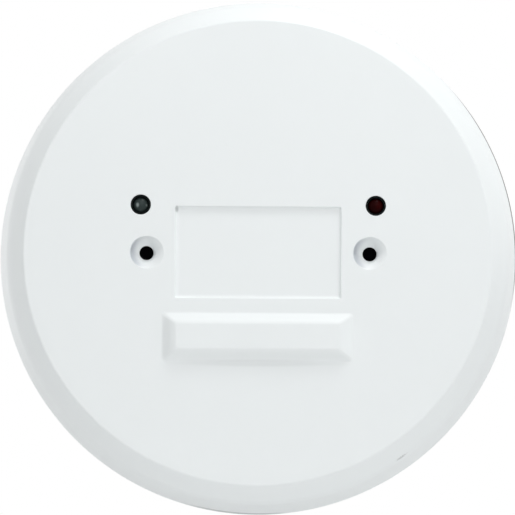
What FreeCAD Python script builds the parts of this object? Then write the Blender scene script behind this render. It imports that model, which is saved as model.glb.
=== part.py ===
import FreeCAD, Part
import Sketcher

import os
from math import pi, radians, sin
from types import SimpleNamespace

# A relay module for hard-wired smoke alarms: a round moulded cover that two machine screws hold
# against a ceiling or wall box, with the electronics in a tub behind it that reaches into the box.
#
# Frame, in millimetres: the origin is midway between the two box-screw holes, on the plane of the
# wall. +Z is up, the face of the cover looks towards -Y, and +Y goes into the box.

SIZES = {
    # cover, from the front: flat face, slope, side band
    "face_radius": 73.5,
    "break_radius": 78.6,
    "base_radius": 81.0,
    "cover_depth": 15.6,
    "slope_drop": 6.1,
    "cover_wall": 2.4,
    "face_edge_round": 1.4,
    "break_edge_round": 0.9,
    "base_edge_round": 0.5,
    # label recess and raised bar below it
    "recess_width": 51.9,
    "recess_height": 28.8,
    "recess_depth": 1.0,
    "bar_drop": 26.7,
    "bar_width": 59.8,
    "bar_height": 15.2,
    "bar_side_slope": 3.9,
    "bar_end_slope": 3.1,
    "bar_rise": 2.6,
    "bar_edge_round": 0.5,
    "bar_core_depth": 2.2,
    # dished holes for the box screws
    "box_screw_spacing": 69.85,
    "box_hole_diameter": 4.45,
    "dish_diameter": 10.3,
    "dish_depth": 3.8,
    "dish_wall": 2.0,
    "post_diameter": 9.2,
    # indicator lights
    "led_spacing": 73.6,
    "led_rise": 14.9,
    "led_diameter": 5.0,
    "led_length": 7.3,
    "led_flange_diameter": 5.8,
    "led_flange_thickness": 1.0,
    "led_dome_round": 2.4,
    "led_pitch": 2.54,
    "led_fit_gap": 0.06,
    "holder_diameter": 6.25,
    "holder_foot_diameter": 8.4,
    "holder_hole_gap": 0.1,
    "holder_recess": 0.25,
    "holder_foot_gap": 0.15,
    # rectangular wall inside the cover, closed from behind by the flange of the rear housing
    "well_width": 98.0,
    "well_height": 62.0,
    "well_wall": 2.0,
    "well_corner_round": 5.0,
    "gusset_count": 12,
    "gusset_thickness": 1.6,
    "gusset_start": 60.0,
    # bosses for the housing screws and for the board screws
    "housing_screw_across": 87.0,
    "housing_screw_up": 51.0,
    "housing_boss_diameter": 7.2,
    "housing_screw_diameter": 2.9,
    "housing_pilot_depth": 7.0,
    "board_screw_across": 61.0,
    "board_screw_up": 42.0,
    "board_boss_diameter": 5.8,
    "board_screw_diameter": 2.5,
    "board_pilot_depth": 4.0,
    "thread_gap": 0.05,
    # rear housing
    "flange_setback": 2.4,
    "flange_thickness": 2.2,
    "tub_width": 56.0,
    "tub_height": 54.0,
    "tub_depth": 24.0,
    "tub_wall": 2.0,
    "tub_draft": 1.5,
    "tub_corner_round": 5.0,
    "tub_back_round": 2.2,
    "tub_rib_spacing": 27.0,
    "tub_rib_thickness": 1.6,
    "tub_rib_reach": 7.0,
    "tub_rib_height": 9.0,
    "post_hole_gap": 0.3,
    "screw_hole_gap": 0.3,
    # bushes for the leads in the back of the tub
    "grommet_spacing": 22.0,
    "grommet_drop": 13.0,
    "grommet_bore": 6.4,
    "grommet_neck_diameter": 9.6,
    "grommet_flange_diameter": 13.0,
    "grommet_flange_thickness": 1.5,
    "grommet_neck_gap": 0.1,
    # circuit board
    "board_setback": 6.6,
    "board_thickness": 1.6,
    "board_gap": 0.6,
    "lead_hole_gap": 0.15,
    "lead_tail": 1.6,
    # screws
    "screw_head_height": 1.6,
    "screw_slot_reach": 0.6,
    "screw_slot_width": 0.8,
    "screw_slot_depth": 0.7,
    "housing_screw_length": 8.0,
    "housing_head_diameter": 5.2,
    "board_screw_length": 5.0,
    "board_head_diameter": 4.4,
    # mains dropper capacitor; each share is that part's place across, over the tub's width
    "film_share": -0.35714,
    "film_up": 6.0,
    "film_length": 26.0,
    "film_width": 8.5,
    "film_height": 17.0,
    "film_corner_round": 0.8,
    "film_pitch": 22.5,
    "film_lead_diameter": 0.8,
    # smoothing capacitor
    "can_share": -0.14286,
    "can_up": 13.0,
    "can_diameter": 12.5,
    "can_height": 20.0,
    "can_crimp_height": 3.0,
    "can_crimp_depth": 0.5,
    "can_top_round": 0.7,
    "can_pitch": 5.0,
    "can_lead_diameter": 0.6,
    # varistor
    "varistor_share": -0.375,
    "varistor_up": -14.5,
    "varistor_diameter": 12.0,
    "varistor_thickness": 4.4,
    "varistor_edge_bevel": 1.2,
    "varistor_standoff": 2.0,
    "varistor_pitch": 7.5,
    "varistor_lead_diameter": 0.8,
    # fuse
    "fuse_share": -0.20536,
    "fuse_up": -18.0,
    "fuse_diameter": 8.4,
    "fuse_height": 7.8,
    "fuse_pitch": 5.08,
    "fuse_lead_diameter": 0.6,
    # axial parts: surge resistor, zener diode, flyback diode, small resistors. Each barrel has a
    # waist between two end caps; the shares are of half its length, the bend is in wire diameters
    "axial_cap_share": 0.55,
    "axial_waist_share": 0.45,
    "axial_bend": 1.5,
    "axial_standoff": 0.4,
    "surge_share": -0.15179,
    "surge_up": -3.6,
    "surge_length": 11.0,
    "surge_diameter": 4.2,
    "surge_neck": 3.7,
    "surge_pitch": 15.0,
    "surge_lead_diameter": 0.7,
    "zener_share": 0.05357,
    "zener_up": -9.5,
    "flyback_share": 0.30714,
    "flyback_up": -12.6,
    "diode_length": 5.2,
    "diode_diameter": 2.7,
    "diode_pitch": 10.16,
    "diode_lead_diameter": 0.7,
    "resistor_share": 0.03571,
    "resistor_up": -21.5,
    "resistor_step": 3.4,
    "resistor_count": 3,
    "resistor_length": 6.3,
    "resistor_diameter": 2.3,
    "resistor_neck": 1.9,
    "resistor_pitch": 10.16,
    "resistor_lead_diameter": 0.6,
    # parts with two rows of legs: bridge rectifier and optocoupler
    "bridge_share": 0.05357,
    "bridge_up": -3.0,
    "bridge_length": 8.4,
    "opto_share": 0.06071,
    "opto_up": 17.5,
    "opto_length": 4.6,
    "chip_width": 6.4,
    "chip_height": 3.3,
    "chip_standoff": 0.4,
    "chip_slope": 0.35,
    "leg_pitch": 2.54,
    "bridge_leg_pitch": 5.08,
    "leg_row_spacing": 7.62,
    "leg_width": 0.6,
    "leg_thickness": 0.3,
    # transistor
    "transistor_share": 0.06071,
    "transistor_up": 8.0,
    "transistor_radius": 2.3,
    "transistor_flat": 1.4,
    "transistor_height": 4.6,
    "transistor_standoff": 3.0,
    "transistor_pitch": 1.9,
    "transistor_lead_diameter": 0.5,
    # relay, measured from the back of the board
    "relay_share": 0.30714,
    "relay_up": 5.0,
    "relay_length": 29.0,
    "relay_width": 13.0,
    "relay_height": 25.5,
    "relay_case_wall": 0.8,
    "relay_case_gap": 0.1,
    "relay_case_round": 0.8,
    "relay_base_thickness": 2.4,
    "pin_slot_gap": 0.1,
    "yoke_thickness": 1.6,
    "yoke_width": 9.6,
    "yoke_inset": 1.3,
    "yoke_foot_length": 15.0,
    "yoke_top": 19.2,
    "core_diameter": 5.0,
    "core_reach": 7.4,
    "pole_diameter": 7.6,
    "pole_thickness": 1.2,
    "bobbin_tube_wall": 0.7,
    "bobbin_flange_thickness": 0.9,
    "bobbin_flange_width": 10.8,
    "bobbin_flange_length": 11.4,
    "bobbin_shelf_length": 4.2,
    "bobbin_gap": 0.05,
    "winding_diameter": 10.2,
    "coil_pin_size": 0.7,
    "coil_pin_spacing": 7.5,
    "coil_pin_inset": 1.3,
    "armature_thickness": 1.4,
    "armature_length": 17.6,
    "armature_tail": 0.6,
    "armature_width": 9.6,
    "armature_waist": 7.0,
    "residual_gap": 0.05,
    "open_angle": 3.0,
    "blade_thickness": 0.4,
    "blade_width": 4.6,
    "blade_start": 2.0,
    "blade_end": 23.4,
    "rivet_diameter": 1.6,
    "rivet_head_diameter": 2.6,
    "rivet_spacing": 6.6,
    "contact_reach": 21.8,
    "contact_diameter": 2.8,
    "contact_thickness": 0.6,
    "contact_shank_diameter": 1.2,
    "contact_gap": 0.04,
    "terminal_thickness": 0.5,
    "terminal_width": 3.2,
    "terminal_spread": 6.4,
    "terminal_inset": 0.5,
    "terminal_pin_width": 1.0,
    "common_pin_reach": 4.0,
    "return_spring_thickness": 0.3,
    "return_spring_width": 4.4,
    "return_spring_seat": 9.0,
    "return_spring_gap": 0.12,
}


class Size:
    """A size of the model: its number and the sheet formula that gives the same number."""

    def __init__(self, number, formula):
        self.number = number
        self.formula = formula

    def __add__(self, other):
        other = as_size(other)
        return Size(self.number + other.number, f"({self.formula} + {other.formula})")

    def __radd__(self, other):
        return as_size(other) + self

    def __sub__(self, other):
        other = as_size(other)
        return Size(self.number - other.number, f"({self.formula} - {other.formula})")

    def __rsub__(self, other):
        return as_size(other) - self

    def __mul__(self, other):
        other = as_size(other)
        return Size(self.number * other.number, f"({self.formula} * {other.formula})")

    def __rmul__(self, other):
        return as_size(other) * self

    def __truediv__(self, other):
        other = as_size(other)
        return Size(self.number / other.number, f"({self.formula} / {other.formula})")

    def __neg__(self):
        return as_size(0) - self


def as_size(value):
    return value if isinstance(value, Size) else Size(float(value), repr(float(value)))


doc = FreeCAD.newDocument("relay_module")
sheet = doc.addObject("Spreadsheet::Sheet", "sizes")
for row, (alias, number) in enumerate(SIZES.items(), start=1):
    sheet.set(f"A{row}", alias)
    sheet.set(f"B{row}", str(number))
    sheet.setAlias(f"B{row}", alias)
doc.recompute()
size = SimpleNamespace(**{alias: Size(float(number), f"sizes.{alias}") for alias, number in SIZES.items()})
ZERO = as_size(0)

# Sketch planes of a body, by the role of the origin plane.
# FRONT: x along X, y along Z, looking at the face. SIDE: x along Y, y along Z. TOP: x along X, y along Y.
FRONT = "XZ_Plane"
SIDE = "YZ_Plane"
TOP = "XY_Plane"

# Depths along Y that several pieces share.
face_plane = -size.cover_depth
floor_plane = face_plane + size.cover_wall
wall_middle = face_plane + size.cover_wall / 2
break_plane = face_plane + size.slope_drop
flange_back = -size.flange_setback
flange_front = flange_back - size.flange_thickness
board_back = -size.board_setback
board_front = board_back - size.board_thickness
lead_end = -(size.board_thickness + size.lead_tail)

# Places across the board are shares of the tub's width, so that the parts stay clear of its sides.
film_across = size.tub_width * size.film_share
can_across = size.tub_width * size.can_share
varistor_across = size.tub_width * size.varistor_share
fuse_across = size.tub_width * size.fuse_share
surge_across = size.tub_width * size.surge_share
zener_across = size.tub_width * size.zener_share
flyback_across = size.tub_width * size.flyback_share
resistor_across = size.tub_width * size.resistor_share
bridge_across = size.tub_width * size.bridge_share
opto_across = size.tub_width * size.opto_share
transistor_across = size.tub_width * size.transistor_share
relay_across = size.tub_width * size.relay_share

# Two places closer than this are taken as one, and a cut that removes less has missed.
CLOSE = 0.01
LEAST_CUT = 0.001


# Helpers: bodies, sketches and features


def body_plane(body, role):
    return next(feature for feature in body.Origin.OriginFeatures if feature.Role == role)


def new_body(label, across=ZERO, depth=ZERO, up=ZERO):
    """An empty body whose own origin lies at the given place of the module."""
    body = doc.addObject("PartDesign::Body", label)
    body.Label = label
    for axis, offset in (("x", across), ("y", depth), ("z", up)):
        body.setExpression(f"Placement.Base.{axis}", as_size(offset).formula)
    return body


def new_sketch(body, name, role, offset=ZERO):
    """A sketch on one of the body's origin planes, moved along the plane's normal."""
    sketch = body.newObject("Sketcher::SketchObject", name)
    sketch.AttachmentSupport = [(body_plane(body, role), "")]
    sketch.MapMode = "FlatFace"
    sketch.setExpression("AttachmentOffset.Base.z", as_size(offset).formula)
    return sketch


def front_sketch(body, name, depth):
    """A sketch parallel to the face, at a depth along +Y. The plane's normal looks towards -Y."""
    return new_sketch(body, name, FRONT, -as_size(depth))


def bind(sketch, name, constraint, value):
    index = sketch.addConstraint(constraint)
    sketch.renameConstraint(index, name)
    sketch.setExpression(f"Constraints.{name}", value.formula)


def place_point(sketch, edge, end, x, y):
    """Fixes an end (1 or 2) or the centre (3) of an edge at x, y of the sketch."""
    for axis, value in (("DistanceX", as_size(x)), ("DistanceY", as_size(y))):
        name = f"{axis}_{edge}_{end}"
        bind(sketch, name, Sketcher.Constraint(axis, -1, 1, edge, end, value.number), value)


def vector(x, y):
    return FreeCAD.Vector(as_size(x).number, as_size(y).number, 0)


def draw_outline(sketch, corners):
    """A closed outline of straight edges through the corners."""
    first = sketch.GeometryCount
    count = len(corners)
    for index, corner in enumerate(corners):
        following = corners[(index + 1) % count]
        sketch.addGeometry(Part.LineSegment(vector(*corner), vector(*following)), False)
    for index in range(count):
        following = first + (index + 1) % count
        sketch.addConstraint(Sketcher.Constraint("Coincident", first + index, 2, following, 1))
    for index, corner in enumerate(corners):
        place_point(sketch, first + index, 1, *corner)


def draw_block(sketch, x, y, width, height):
    """A rectangle about the centre x, y."""
    left, right = x - width / 2, x + width / 2
    bottom, top = y - height / 2, y + height / 2
    draw_outline(sketch, [(left, bottom), (right, bottom), (right, top), (left, top)])


def quarter_arc(x, y, radius, quarter):
    """A quarter of a circle about x, y; quarter 0 runs from +x to +y, 1 from +y to -x, and so on."""
    circle = Part.Circle(FreeCAD.Vector(x, y, 0), FreeCAD.Vector(0, 0, 1), radius)
    return Part.ArcOfCircle(circle, quarter * pi / 2, (quarter + 1) * pi / 2)


def draw_rounded_block(sketch, width, height, radius):
    """A rectangle about the origin with four equal round corners."""
    first = sketch.GeometryCount
    r = radius.number
    x, y = width.number / 2 - r, height.number / 2 - r
    centres = [(x, y), (-x, y), (-x, -y), (x, -y)]
    arcs = [quarter_arc(*centre, r, quarter) for quarter, centre in enumerate(centres)]
    for arc, following in zip(arcs, arcs[1:] + arcs[:1]):
        sketch.addGeometry(arc, False)
        sketch.addGeometry(Part.LineSegment(arc.EndPoint, following.StartPoint), False)
    top, left, bottom, right = first + 1, first + 3, first + 5, first + 7
    for arc, line, next_arc in ((first, top, first + 2), (first + 2, left, first + 4),
                                (first + 4, bottom, first + 6), (first + 6, right, first)):
        sketch.addConstraint(Sketcher.Constraint("Tangent", arc, 2, line, 1))
        sketch.addConstraint(Sketcher.Constraint("Tangent", line, 2, next_arc, 1))
    for other in (first + 2, first + 4, first + 6):
        sketch.addConstraint(Sketcher.Constraint("Equal", first, other))
    bind(sketch, f"corner_{first}", Sketcher.Constraint("Radius", first, r), radius)
    sketch.addConstraint(Sketcher.Constraint("Horizontal", top))
    sketch.addConstraint(Sketcher.Constraint("Vertical", left))
    sides = (("DistanceY", top, height / 2), ("DistanceX", left, -width / 2),
             ("DistanceY", bottom, -height / 2), ("DistanceX", right, width / 2))
    for axis, edge, value in sides:
        bind(sketch, f"side_{edge}", Sketcher.Constraint(axis, -1, 1, edge, 1, value.number), value)


def draw_circle(sketch, x, y, diameter):
    edge = sketch.addGeometry(Part.Circle(vector(x, y), FreeCAD.Vector(0, 0, 1), diameter.number / 2), False)
    place_point(sketch, edge, 3, x, y)
    bind(sketch, f"diameter_{edge}", Sketcher.Constraint("Diameter", edge, diameter.number), diameter)


def draw_circles(sketch, places, diameter):
    for x, y in places:
        draw_circle(sketch, x, y, diameter)


def four_corners(across, up):
    """The corners of a rectangle about the origin, as places."""
    return [(x * across / 2, y * up / 2) for x in (-1, 1) for y in (-1, 1)]


def box_screw_places():
    return [(-size.box_screw_spacing / 2, ZERO), (size.box_screw_spacing / 2, ZERO)]


def housing_screw_places():
    return four_corners(size.housing_screw_across, size.housing_screw_up)


def board_screw_places():
    return four_corners(size.board_screw_across, size.board_screw_up)


def led_places():
    return [(-size.led_spacing / 2, size.led_rise), (size.led_spacing / 2, size.led_rise)]


def pad(body, name, sketch, length, side="One side", backwards=False, draft=None):
    """Adds the sketch's outline, along the sketch's normal unless backwards."""
    feature = body.newObject("PartDesign::Pad", name)
    feature.Profile = sketch
    feature.SideType = side
    feature.setExpression("Length", as_size(length).formula)
    feature.Reversed = backwards
    if draft is not None:
        feature.setExpression("TaperAngle", draft.formula)
    return feature


def pocket(body, name, sketch, length, forwards=False, draft=None):
    """Cuts the sketch's outline, against the sketch's normal unless forwards."""
    feature = body.newObject("PartDesign::Pocket", name)
    feature.Profile = sketch
    feature.setExpression("Length", as_size(length).formula)
    feature.Reversed = forwards
    if draft is not None:
        feature.setExpression("TaperAngle", draft.formula)
    return feature


def revolve(body, name, sketch, axis="V_Axis"):
    feature = body.newObject("PartDesign::Revolution", name)
    feature.Profile = sketch
    feature.ReferenceAxis = (sketch, [axis])
    feature.Angle = 360
    return feature


def lathe(body, name, profile):
    """Turns a profile of (radius, depth) corners about the body's Y axis."""
    sketch = new_sketch(body, name + "_profile", TOP)
    draw_outline(sketch, profile)
    return revolve(body, name, sketch)


def mirror(body, name, originals, role):
    """Repeats features across one of the body's origin planes."""
    feature = body.newObject("PartDesign::Mirrored", name)
    feature.Originals = originals
    feature.MirrorPlane = (body_plane(body, role), [""])
    body.Tip = feature
    return feature


def round_edges(body, name, feature, radius, chosen):
    """Rounds the edges of a feature that the test picks."""
    doc.recompute()
    names = [f"Edge{index}" for index, edge in enumerate(feature.Shape.Edges, start=1) if chosen(edge)]
    rounding = body.newObject("PartDesign::Fillet", name)
    rounding.Base = (feature, names)
    rounding.setExpression("Radius", radius.formula)
    body.Tip = rounding
    return rounding


def near(value, target):
    return abs(value - as_size(target).number) < CLOSE


def is_ring_at(edge, depth):
    """A full circle about the Y axis at this depth."""
    circle = edge.Curve
    full = isinstance(circle, Part.Circle) and edge.isClosed()
    return full and near(circle.Center.y, depth) and near(circle.Center.x, 0) and near(circle.Center.z, 0)


# Cover


def cover_shell(body):
    """The turned dish: flat face, slope and side band, open at the back."""
    disc = lathe(body, "disc", [
        (ZERO, face_plane),
        (size.face_radius, face_plane),
        (size.break_radius, break_plane),
        (size.base_radius, ZERO),
        (ZERO, ZERO),
    ])
    doc.recompute()
    back = [f"Face{index}" for index, face in enumerate(disc.Shape.Faces, start=1)
            if near(face.CenterOfMass.y, 0)]
    shell = body.newObject("PartDesign::Thickness", "shell")
    shell.Base = (disc, back)
    shell.Mode = "Skin"
    shell.Join = "Intersection"
    shell.Reversed = True
    shell.setExpression("Value", size.cover_wall.formula)
    body.Tip = shell
    face_edge = round_edges(body, "face_edge", shell, size.face_edge_round,
                            lambda e: is_ring_at(e, face_plane))
    soft = round_edges(body, "break_edge", face_edge, size.break_edge_round,
                       lambda e: is_ring_at(e, break_plane))
    round_edges(body, "base_edge", soft, size.base_edge_round,
                lambda e: is_ring_at(e, ZERO) and near(e.Curve.Radius, size.base_radius))


def cover_bosses(body):
    """Everything that stands on the inner floor of the cover, up to the plane it carries."""
    dish_boss_diameter = size.dish_diameter + 2 * size.dish_wall
    dish_boss_end = face_plane + size.dish_depth + size.dish_wall
    stands = (
        ("dish_bosses", box_screw_places(), dish_boss_diameter, dish_boss_end),
        ("posts", box_screw_places(), size.post_diameter, ZERO),
        ("housing_bosses", housing_screw_places(), size.housing_boss_diameter, flange_front),
        ("board_bosses", board_screw_places(), size.board_boss_diameter, board_front),
    )
    for name, places, diameter, end in stands:
        sketch = front_sketch(body, name + "_outline", wall_middle)
        draw_circles(sketch, places, diameter)
        pad(body, name, sketch, end - wall_middle, backwards=True)


def cover_well(body):
    """The rectangular wall round the board, which the rear housing's flange closes."""
    outline = front_sketch(body, "well_outline", wall_middle)
    draw_rounded_block(outline, size.well_width, size.well_height, size.well_corner_round)
    draw_rounded_block(outline, size.well_width - 2 * size.well_wall, size.well_height - 2 * size.well_wall,
                       size.well_corner_round - size.well_wall)
    pad(body, "well", outline, flange_front - wall_middle, backwards=True)


def cover_gussets(body):
    """Thin radial webs from the floor to the side wall, clear of the well."""
    web = new_sketch(body, "gusset_outline", TOP)
    draw_outline(web, [
        (size.gusset_start, wall_middle),
        (size.face_radius, wall_middle),
        (size.break_radius - size.cover_wall / 2, break_plane),
        (size.gusset_start, floor_plane),
    ])
    gusset = pad(body, "gusset", web, size.gusset_thickness, side="Symmetric")
    ring = body.newObject("PartDesign::PolarPattern", "gussets")
    ring.Originals = [gusset]
    ring.Axis = (web, ["V_Axis"])
    ring.Angle = 360
    ring.setExpression("Occurrences", size.gusset_count.formula)
    body.Tip = ring


def cover_bar(body):
    """The raised bar under the recess: four sloped sides with mitred corners."""
    slope_at_root = 1 + (wall_middle - face_plane) / size.bar_rise
    base = front_sketch(body, "bar_base", wall_middle)
    draw_block(base, ZERO, -size.bar_drop,
               size.bar_width - 2 * size.bar_side_slope + 2 * size.bar_side_slope * slope_at_root,
               size.bar_height - 2 * size.bar_end_slope + 2 * size.bar_end_slope * slope_at_root)
    top = front_sketch(body, "bar_top", face_plane - size.bar_rise)
    draw_block(top, ZERO, -size.bar_drop,
               size.bar_width - 2 * size.bar_side_slope, size.bar_height - 2 * size.bar_end_slope)
    bar = body.newObject("PartDesign::AdditiveLoft", "bar")
    bar.Profile = base
    bar.Sections = [top]
    bar.Ruled = True
    body.Tip = bar
    top_y = (face_plane - size.bar_rise).number

    def on_bar(edge):
        highest = min(vertex.Point.y for vertex in edge.Vertexes)
        lowest = max(vertex.Point.y for vertex in edge.Vertexes)
        return near(highest, top_y) and lowest < face_plane.number + CLOSE

    round_edges(body, "bar_edges", bar, size.bar_edge_round, on_bar)


def cover_openings(body):
    """The recess in the face, the dishes, and every hole from the front or the back."""
    recess = front_sketch(body, "recess_outline", face_plane)
    draw_block(recess, ZERO, ZERO, size.recess_width, size.recess_height)
    pocket(body, "recess", recess, size.recess_depth)

    core = front_sketch(body, "bar_core_outline", floor_plane)
    draw_block(core, ZERO, -size.bar_drop,
               size.bar_width - 2 * size.bar_side_slope - 2 * size.cover_wall,
               size.bar_height - 2 * size.bar_end_slope - size.cover_wall)
    pocket(body, "bar_core", core, size.bar_core_depth, forwards=True)

    dish_groove(body)
    holes = front_sketch(body, "box_hole_outlines", face_plane)
    draw_circles(holes, box_screw_places(), size.box_hole_diameter)
    pocket(body, "box_holes", holes, size.cover_depth)

    lights = front_sketch(body, "light_hole_outlines", face_plane)
    draw_circles(lights, led_places(), size.holder_diameter + 2 * size.holder_hole_gap)
    pocket(body, "light_holes", lights, size.cover_wall)

    housing = front_sketch(body, "housing_pilot_outlines", flange_front)
    draw_circles(housing, housing_screw_places(), size.housing_screw_diameter + 2 * size.thread_gap)
    pocket(body, "housing_pilots", housing, size.housing_pilot_depth, forwards=True)

    board = front_sketch(body, "board_pilot_outlines", board_front)
    draw_circles(board, board_screw_places(), size.board_screw_diameter + 2 * size.thread_gap)
    pocket(body, "board_pilots", board, size.board_pilot_depth, forwards=True)


def dish_groove(body):
    """A shallow spherical bowl round each box-screw hole, cut from the face."""
    post_x = size.box_screw_spacing / 2
    rim = size.dish_diameter / 2
    ball = (rim * rim + size.dish_depth * size.dish_depth) / (2 * size.dish_depth)
    sketch = new_sketch(body, "dish_profile", TOP)
    middle = vector(post_x, face_plane)
    edge = vector(post_x + rim, face_plane)
    bottom = vector(post_x, face_plane + size.dish_depth)
    centre = vector(post_x, face_plane + size.dish_depth - ball)
    halfway = (edge - centre) + (bottom - centre)
    between = centre + halfway.normalize() * ball.number
    sketch.addGeometry(Part.LineSegment(middle, edge), False)
    sketch.addGeometry(Part.Arc(edge, between, bottom), False)
    sketch.addGeometry(Part.LineSegment(bottom, middle), False)
    for index in range(3):
        sketch.addConstraint(Sketcher.Constraint("Coincident", index, 2, (index + 1) % 3, 1))
    place_point(sketch, 0, 1, post_x, face_plane)
    place_point(sketch, 0, 2, post_x + rim, face_plane)
    place_point(sketch, 2, 1, post_x, face_plane + size.dish_depth)
    bind(sketch, "ball", Sketcher.Constraint("Radius", 1, ball.number), ball)
    dish = body.newObject("PartDesign::Groove", "dish")
    dish.Profile = sketch
    dish.ReferenceAxis = (sketch, ["Edge3"])
    dish.Angle = 360
    mirror(body, "dishes", [dish], SIDE)


def make_cover():
    body = new_body("cover_plate")
    cover_shell(body)
    cover_bosses(body)
    cover_well(body)
    cover_gussets(body)
    cover_bar(body)
    cover_openings(body)


# Rear housing and the bushes in it


def make_rear_housing():
    body = new_body("rear_housing")
    plate = front_sketch(body, "flange_outline", flange_back)
    draw_rounded_block(plate, size.well_width, size.well_height, size.well_corner_round)
    pad(body, "flange", plate, size.flange_thickness)

    outline = front_sketch(body, "tub_outline", flange_front)
    draw_rounded_block(outline, size.tub_width, size.tub_height, size.tub_corner_round)
    tub = pad(body, "tub", outline, size.tub_depth - flange_front, backwards=True, draft=-size.tub_draft)
    round_edges(body, "tub_back_edge", tub, size.tub_back_round,
                lambda e: all(near(vertex.Point.y, size.tub_depth) for vertex in e.Vertexes))

    tub_ribs(body)

    cavity = front_sketch(body, "cavity_outline", flange_front)
    draw_rounded_block(cavity, size.tub_width - 2 * size.tub_wall, size.tub_height - 2 * size.tub_wall,
                       size.tub_corner_round - size.tub_wall)
    pocket(body, "cavity", cavity, size.tub_depth - size.tub_wall - flange_front, draft=-size.tub_draft)

    posts = front_sketch(body, "post_hole_outlines", flange_front)
    draw_circles(posts, box_screw_places(), size.post_diameter + 2 * size.post_hole_gap)
    pocket(body, "post_holes", posts, size.flange_thickness)

    screws = front_sketch(body, "screw_hole_outlines", flange_front)
    draw_circles(screws, housing_screw_places(), size.housing_screw_diameter + 2 * size.screw_hole_gap)
    pocket(body, "screw_holes", screws, size.flange_thickness)

    bushes = front_sketch(body, "grommet_hole_outlines", size.tub_depth - size.tub_wall)
    draw_circles(bushes, grommet_places(), size.grommet_neck_diameter + 2 * size.grommet_neck_gap)
    pocket(body, "grommet_holes", bushes, size.tub_wall)


def tub_ribs(body):
    """Four triangular webs that brace the tub's sides against the flange."""
    side = size.tub_width / 2
    root = size.tub_wall
    for name, place in (("lower", -1), ("upper", 1)):
        sketch = new_sketch(body, f"{name}_ribs_outline", TOP, place * size.tub_rib_spacing / 2)
        for hand in (-1, 1):
            draw_outline(sketch, [
                (hand * (side - root), flange_back),
                (hand * (side + size.tub_rib_reach), flange_back),
                (hand * (side - root / 2), flange_back + size.tub_rib_height),
                (hand * (side - root), flange_back + size.tub_rib_height),
            ])
        pad(body, f"{name}_ribs", sketch, size.tub_rib_thickness, side="Symmetric")


def grommet_places():
    return [(hand * size.grommet_spacing / 2, -size.grommet_drop) for hand in (-1, 1)]


def make_grommet(label, place):
    """A rubber bush with a flange on each side of the tub's back wall, and a bore for the leads."""
    body = new_body(label, across=place[0], depth=size.tub_depth, up=place[1])
    bore = size.grommet_bore / 2
    neck = size.grommet_neck_diameter / 2
    rim = size.grommet_flange_diameter / 2
    lip = size.grommet_flange_thickness
    lathe(body, "bush", [
        (bore, -size.tub_wall - lip),
        (rim - lip / 2, -size.tub_wall - lip),
        (rim, -size.tub_wall),
        (neck, -size.tub_wall),
        (neck, ZERO),
        (rim, ZERO),
        (rim, lip / 2),
        (rim - lip / 2, lip),
        (bore, lip),
    ])


# Screws


def make_screws(label, places, seat, head_diameter, shank_diameter, length):
    """Pan-head screws with a cross slot, all driven from the back, with their heads on the seat plane."""
    body = new_body(label)
    heads = front_sketch(body, "head_outlines", seat)
    draw_circles(heads, places, head_diameter)
    pads = pad(body, "heads", heads, size.screw_head_height, backwards=True)
    top = seat + size.screw_head_height
    round_edges(body, "head_edges", pads, size.screw_head_height / 2,
                lambda e: e.isClosed() and near(e.CenterOfMass.y, top))
    shanks = front_sketch(body, "shank_outlines", seat)
    draw_circles(shanks, places, shank_diameter)
    pad(body, "shanks", shanks, length)
    slots = front_sketch(body, "slot_outlines", top)
    half, thin = head_diameter * size.screw_slot_reach / 2, size.screw_slot_width / 2
    for x, z in places:
        draw_outline(slots, [
            (x - half, z - thin), (x - thin, z - thin), (x - thin, z - half), (x + thin, z - half),
            (x + thin, z - thin), (x + half, z - thin), (x + half, z + thin), (x + thin, z + thin),
            (x + thin, z + half), (x - thin, z + half), (x - thin, z + thin), (x - half, z + thin),
        ])
    pocket(body, "slots", slots, size.screw_slot_depth, forwards=True)


# Circuit board


def pair(across, up, pitch, along_x=False):
    """Two lead places about a part's centre."""
    if along_x:
        return [(across - pitch / 2, up), (across + pitch / 2, up)]
    return [(across, up - pitch / 2), (across, up + pitch / 2)]


def relay_pin_places():
    """Where the relay's pins go through the board: coil pins, common, open and closed contacts."""
    coil_z = size.relay_up + coil_pin_reach()
    terminal_z = size.relay_up + terminal_face() - size.terminal_thickness / 2
    spread = size.terminal_spread / 2
    return [
        (relay_across - size.coil_pin_spacing / 2, coil_z),
        (relay_across + size.coil_pin_spacing / 2, coil_z),
        (relay_across, size.relay_up + yoke_back() + size.common_pin_reach),
        (relay_across - spread, terminal_z),
        (relay_across + spread, terminal_z),
    ]


def lead_holes():
    """Every group of leads that goes through the board: its places and its lead diameter."""
    small, diode_lead = size.resistor_lead_diameter, size.diode_lead_diameter
    groups = [(pair(x, z, size.led_pitch, along_x=True), small) for x, z in led_places()]
    groups += [
        (pair(film_across, size.film_up, size.film_pitch), size.film_lead_diameter),
        (pair(can_across, size.can_up, size.can_pitch, along_x=True), size.can_lead_diameter),
        (pair(varistor_across, size.varistor_up, size.varistor_pitch), size.varistor_lead_diameter),
        (pair(fuse_across, size.fuse_up, size.fuse_pitch), size.fuse_lead_diameter),
        (pair(surge_across, size.surge_up, size.surge_pitch), size.surge_lead_diameter),
        (pair(zener_across, size.zener_up, size.diode_pitch, along_x=True), diode_lead),
        (pair(flyback_across, size.flyback_up, size.diode_pitch, along_x=True), diode_lead),
        (chip_leg_places(bridge_across, size.bridge_up, size.bridge_leg_pitch), size.leg_width),
        (chip_leg_places(opto_across, size.opto_up, size.leg_pitch), size.leg_width),
        (transistor_places(transistor_across, size.transistor_up), size.transistor_lead_diameter),
        (relay_pin_places(), size.terminal_pin_width),
    ]
    for index in range(int(size.resistor_count.number)):
        up = size.resistor_up + index * size.resistor_step
        groups.append((pair(resistor_across, up, size.resistor_pitch, along_x=True), small))
    return groups


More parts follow.
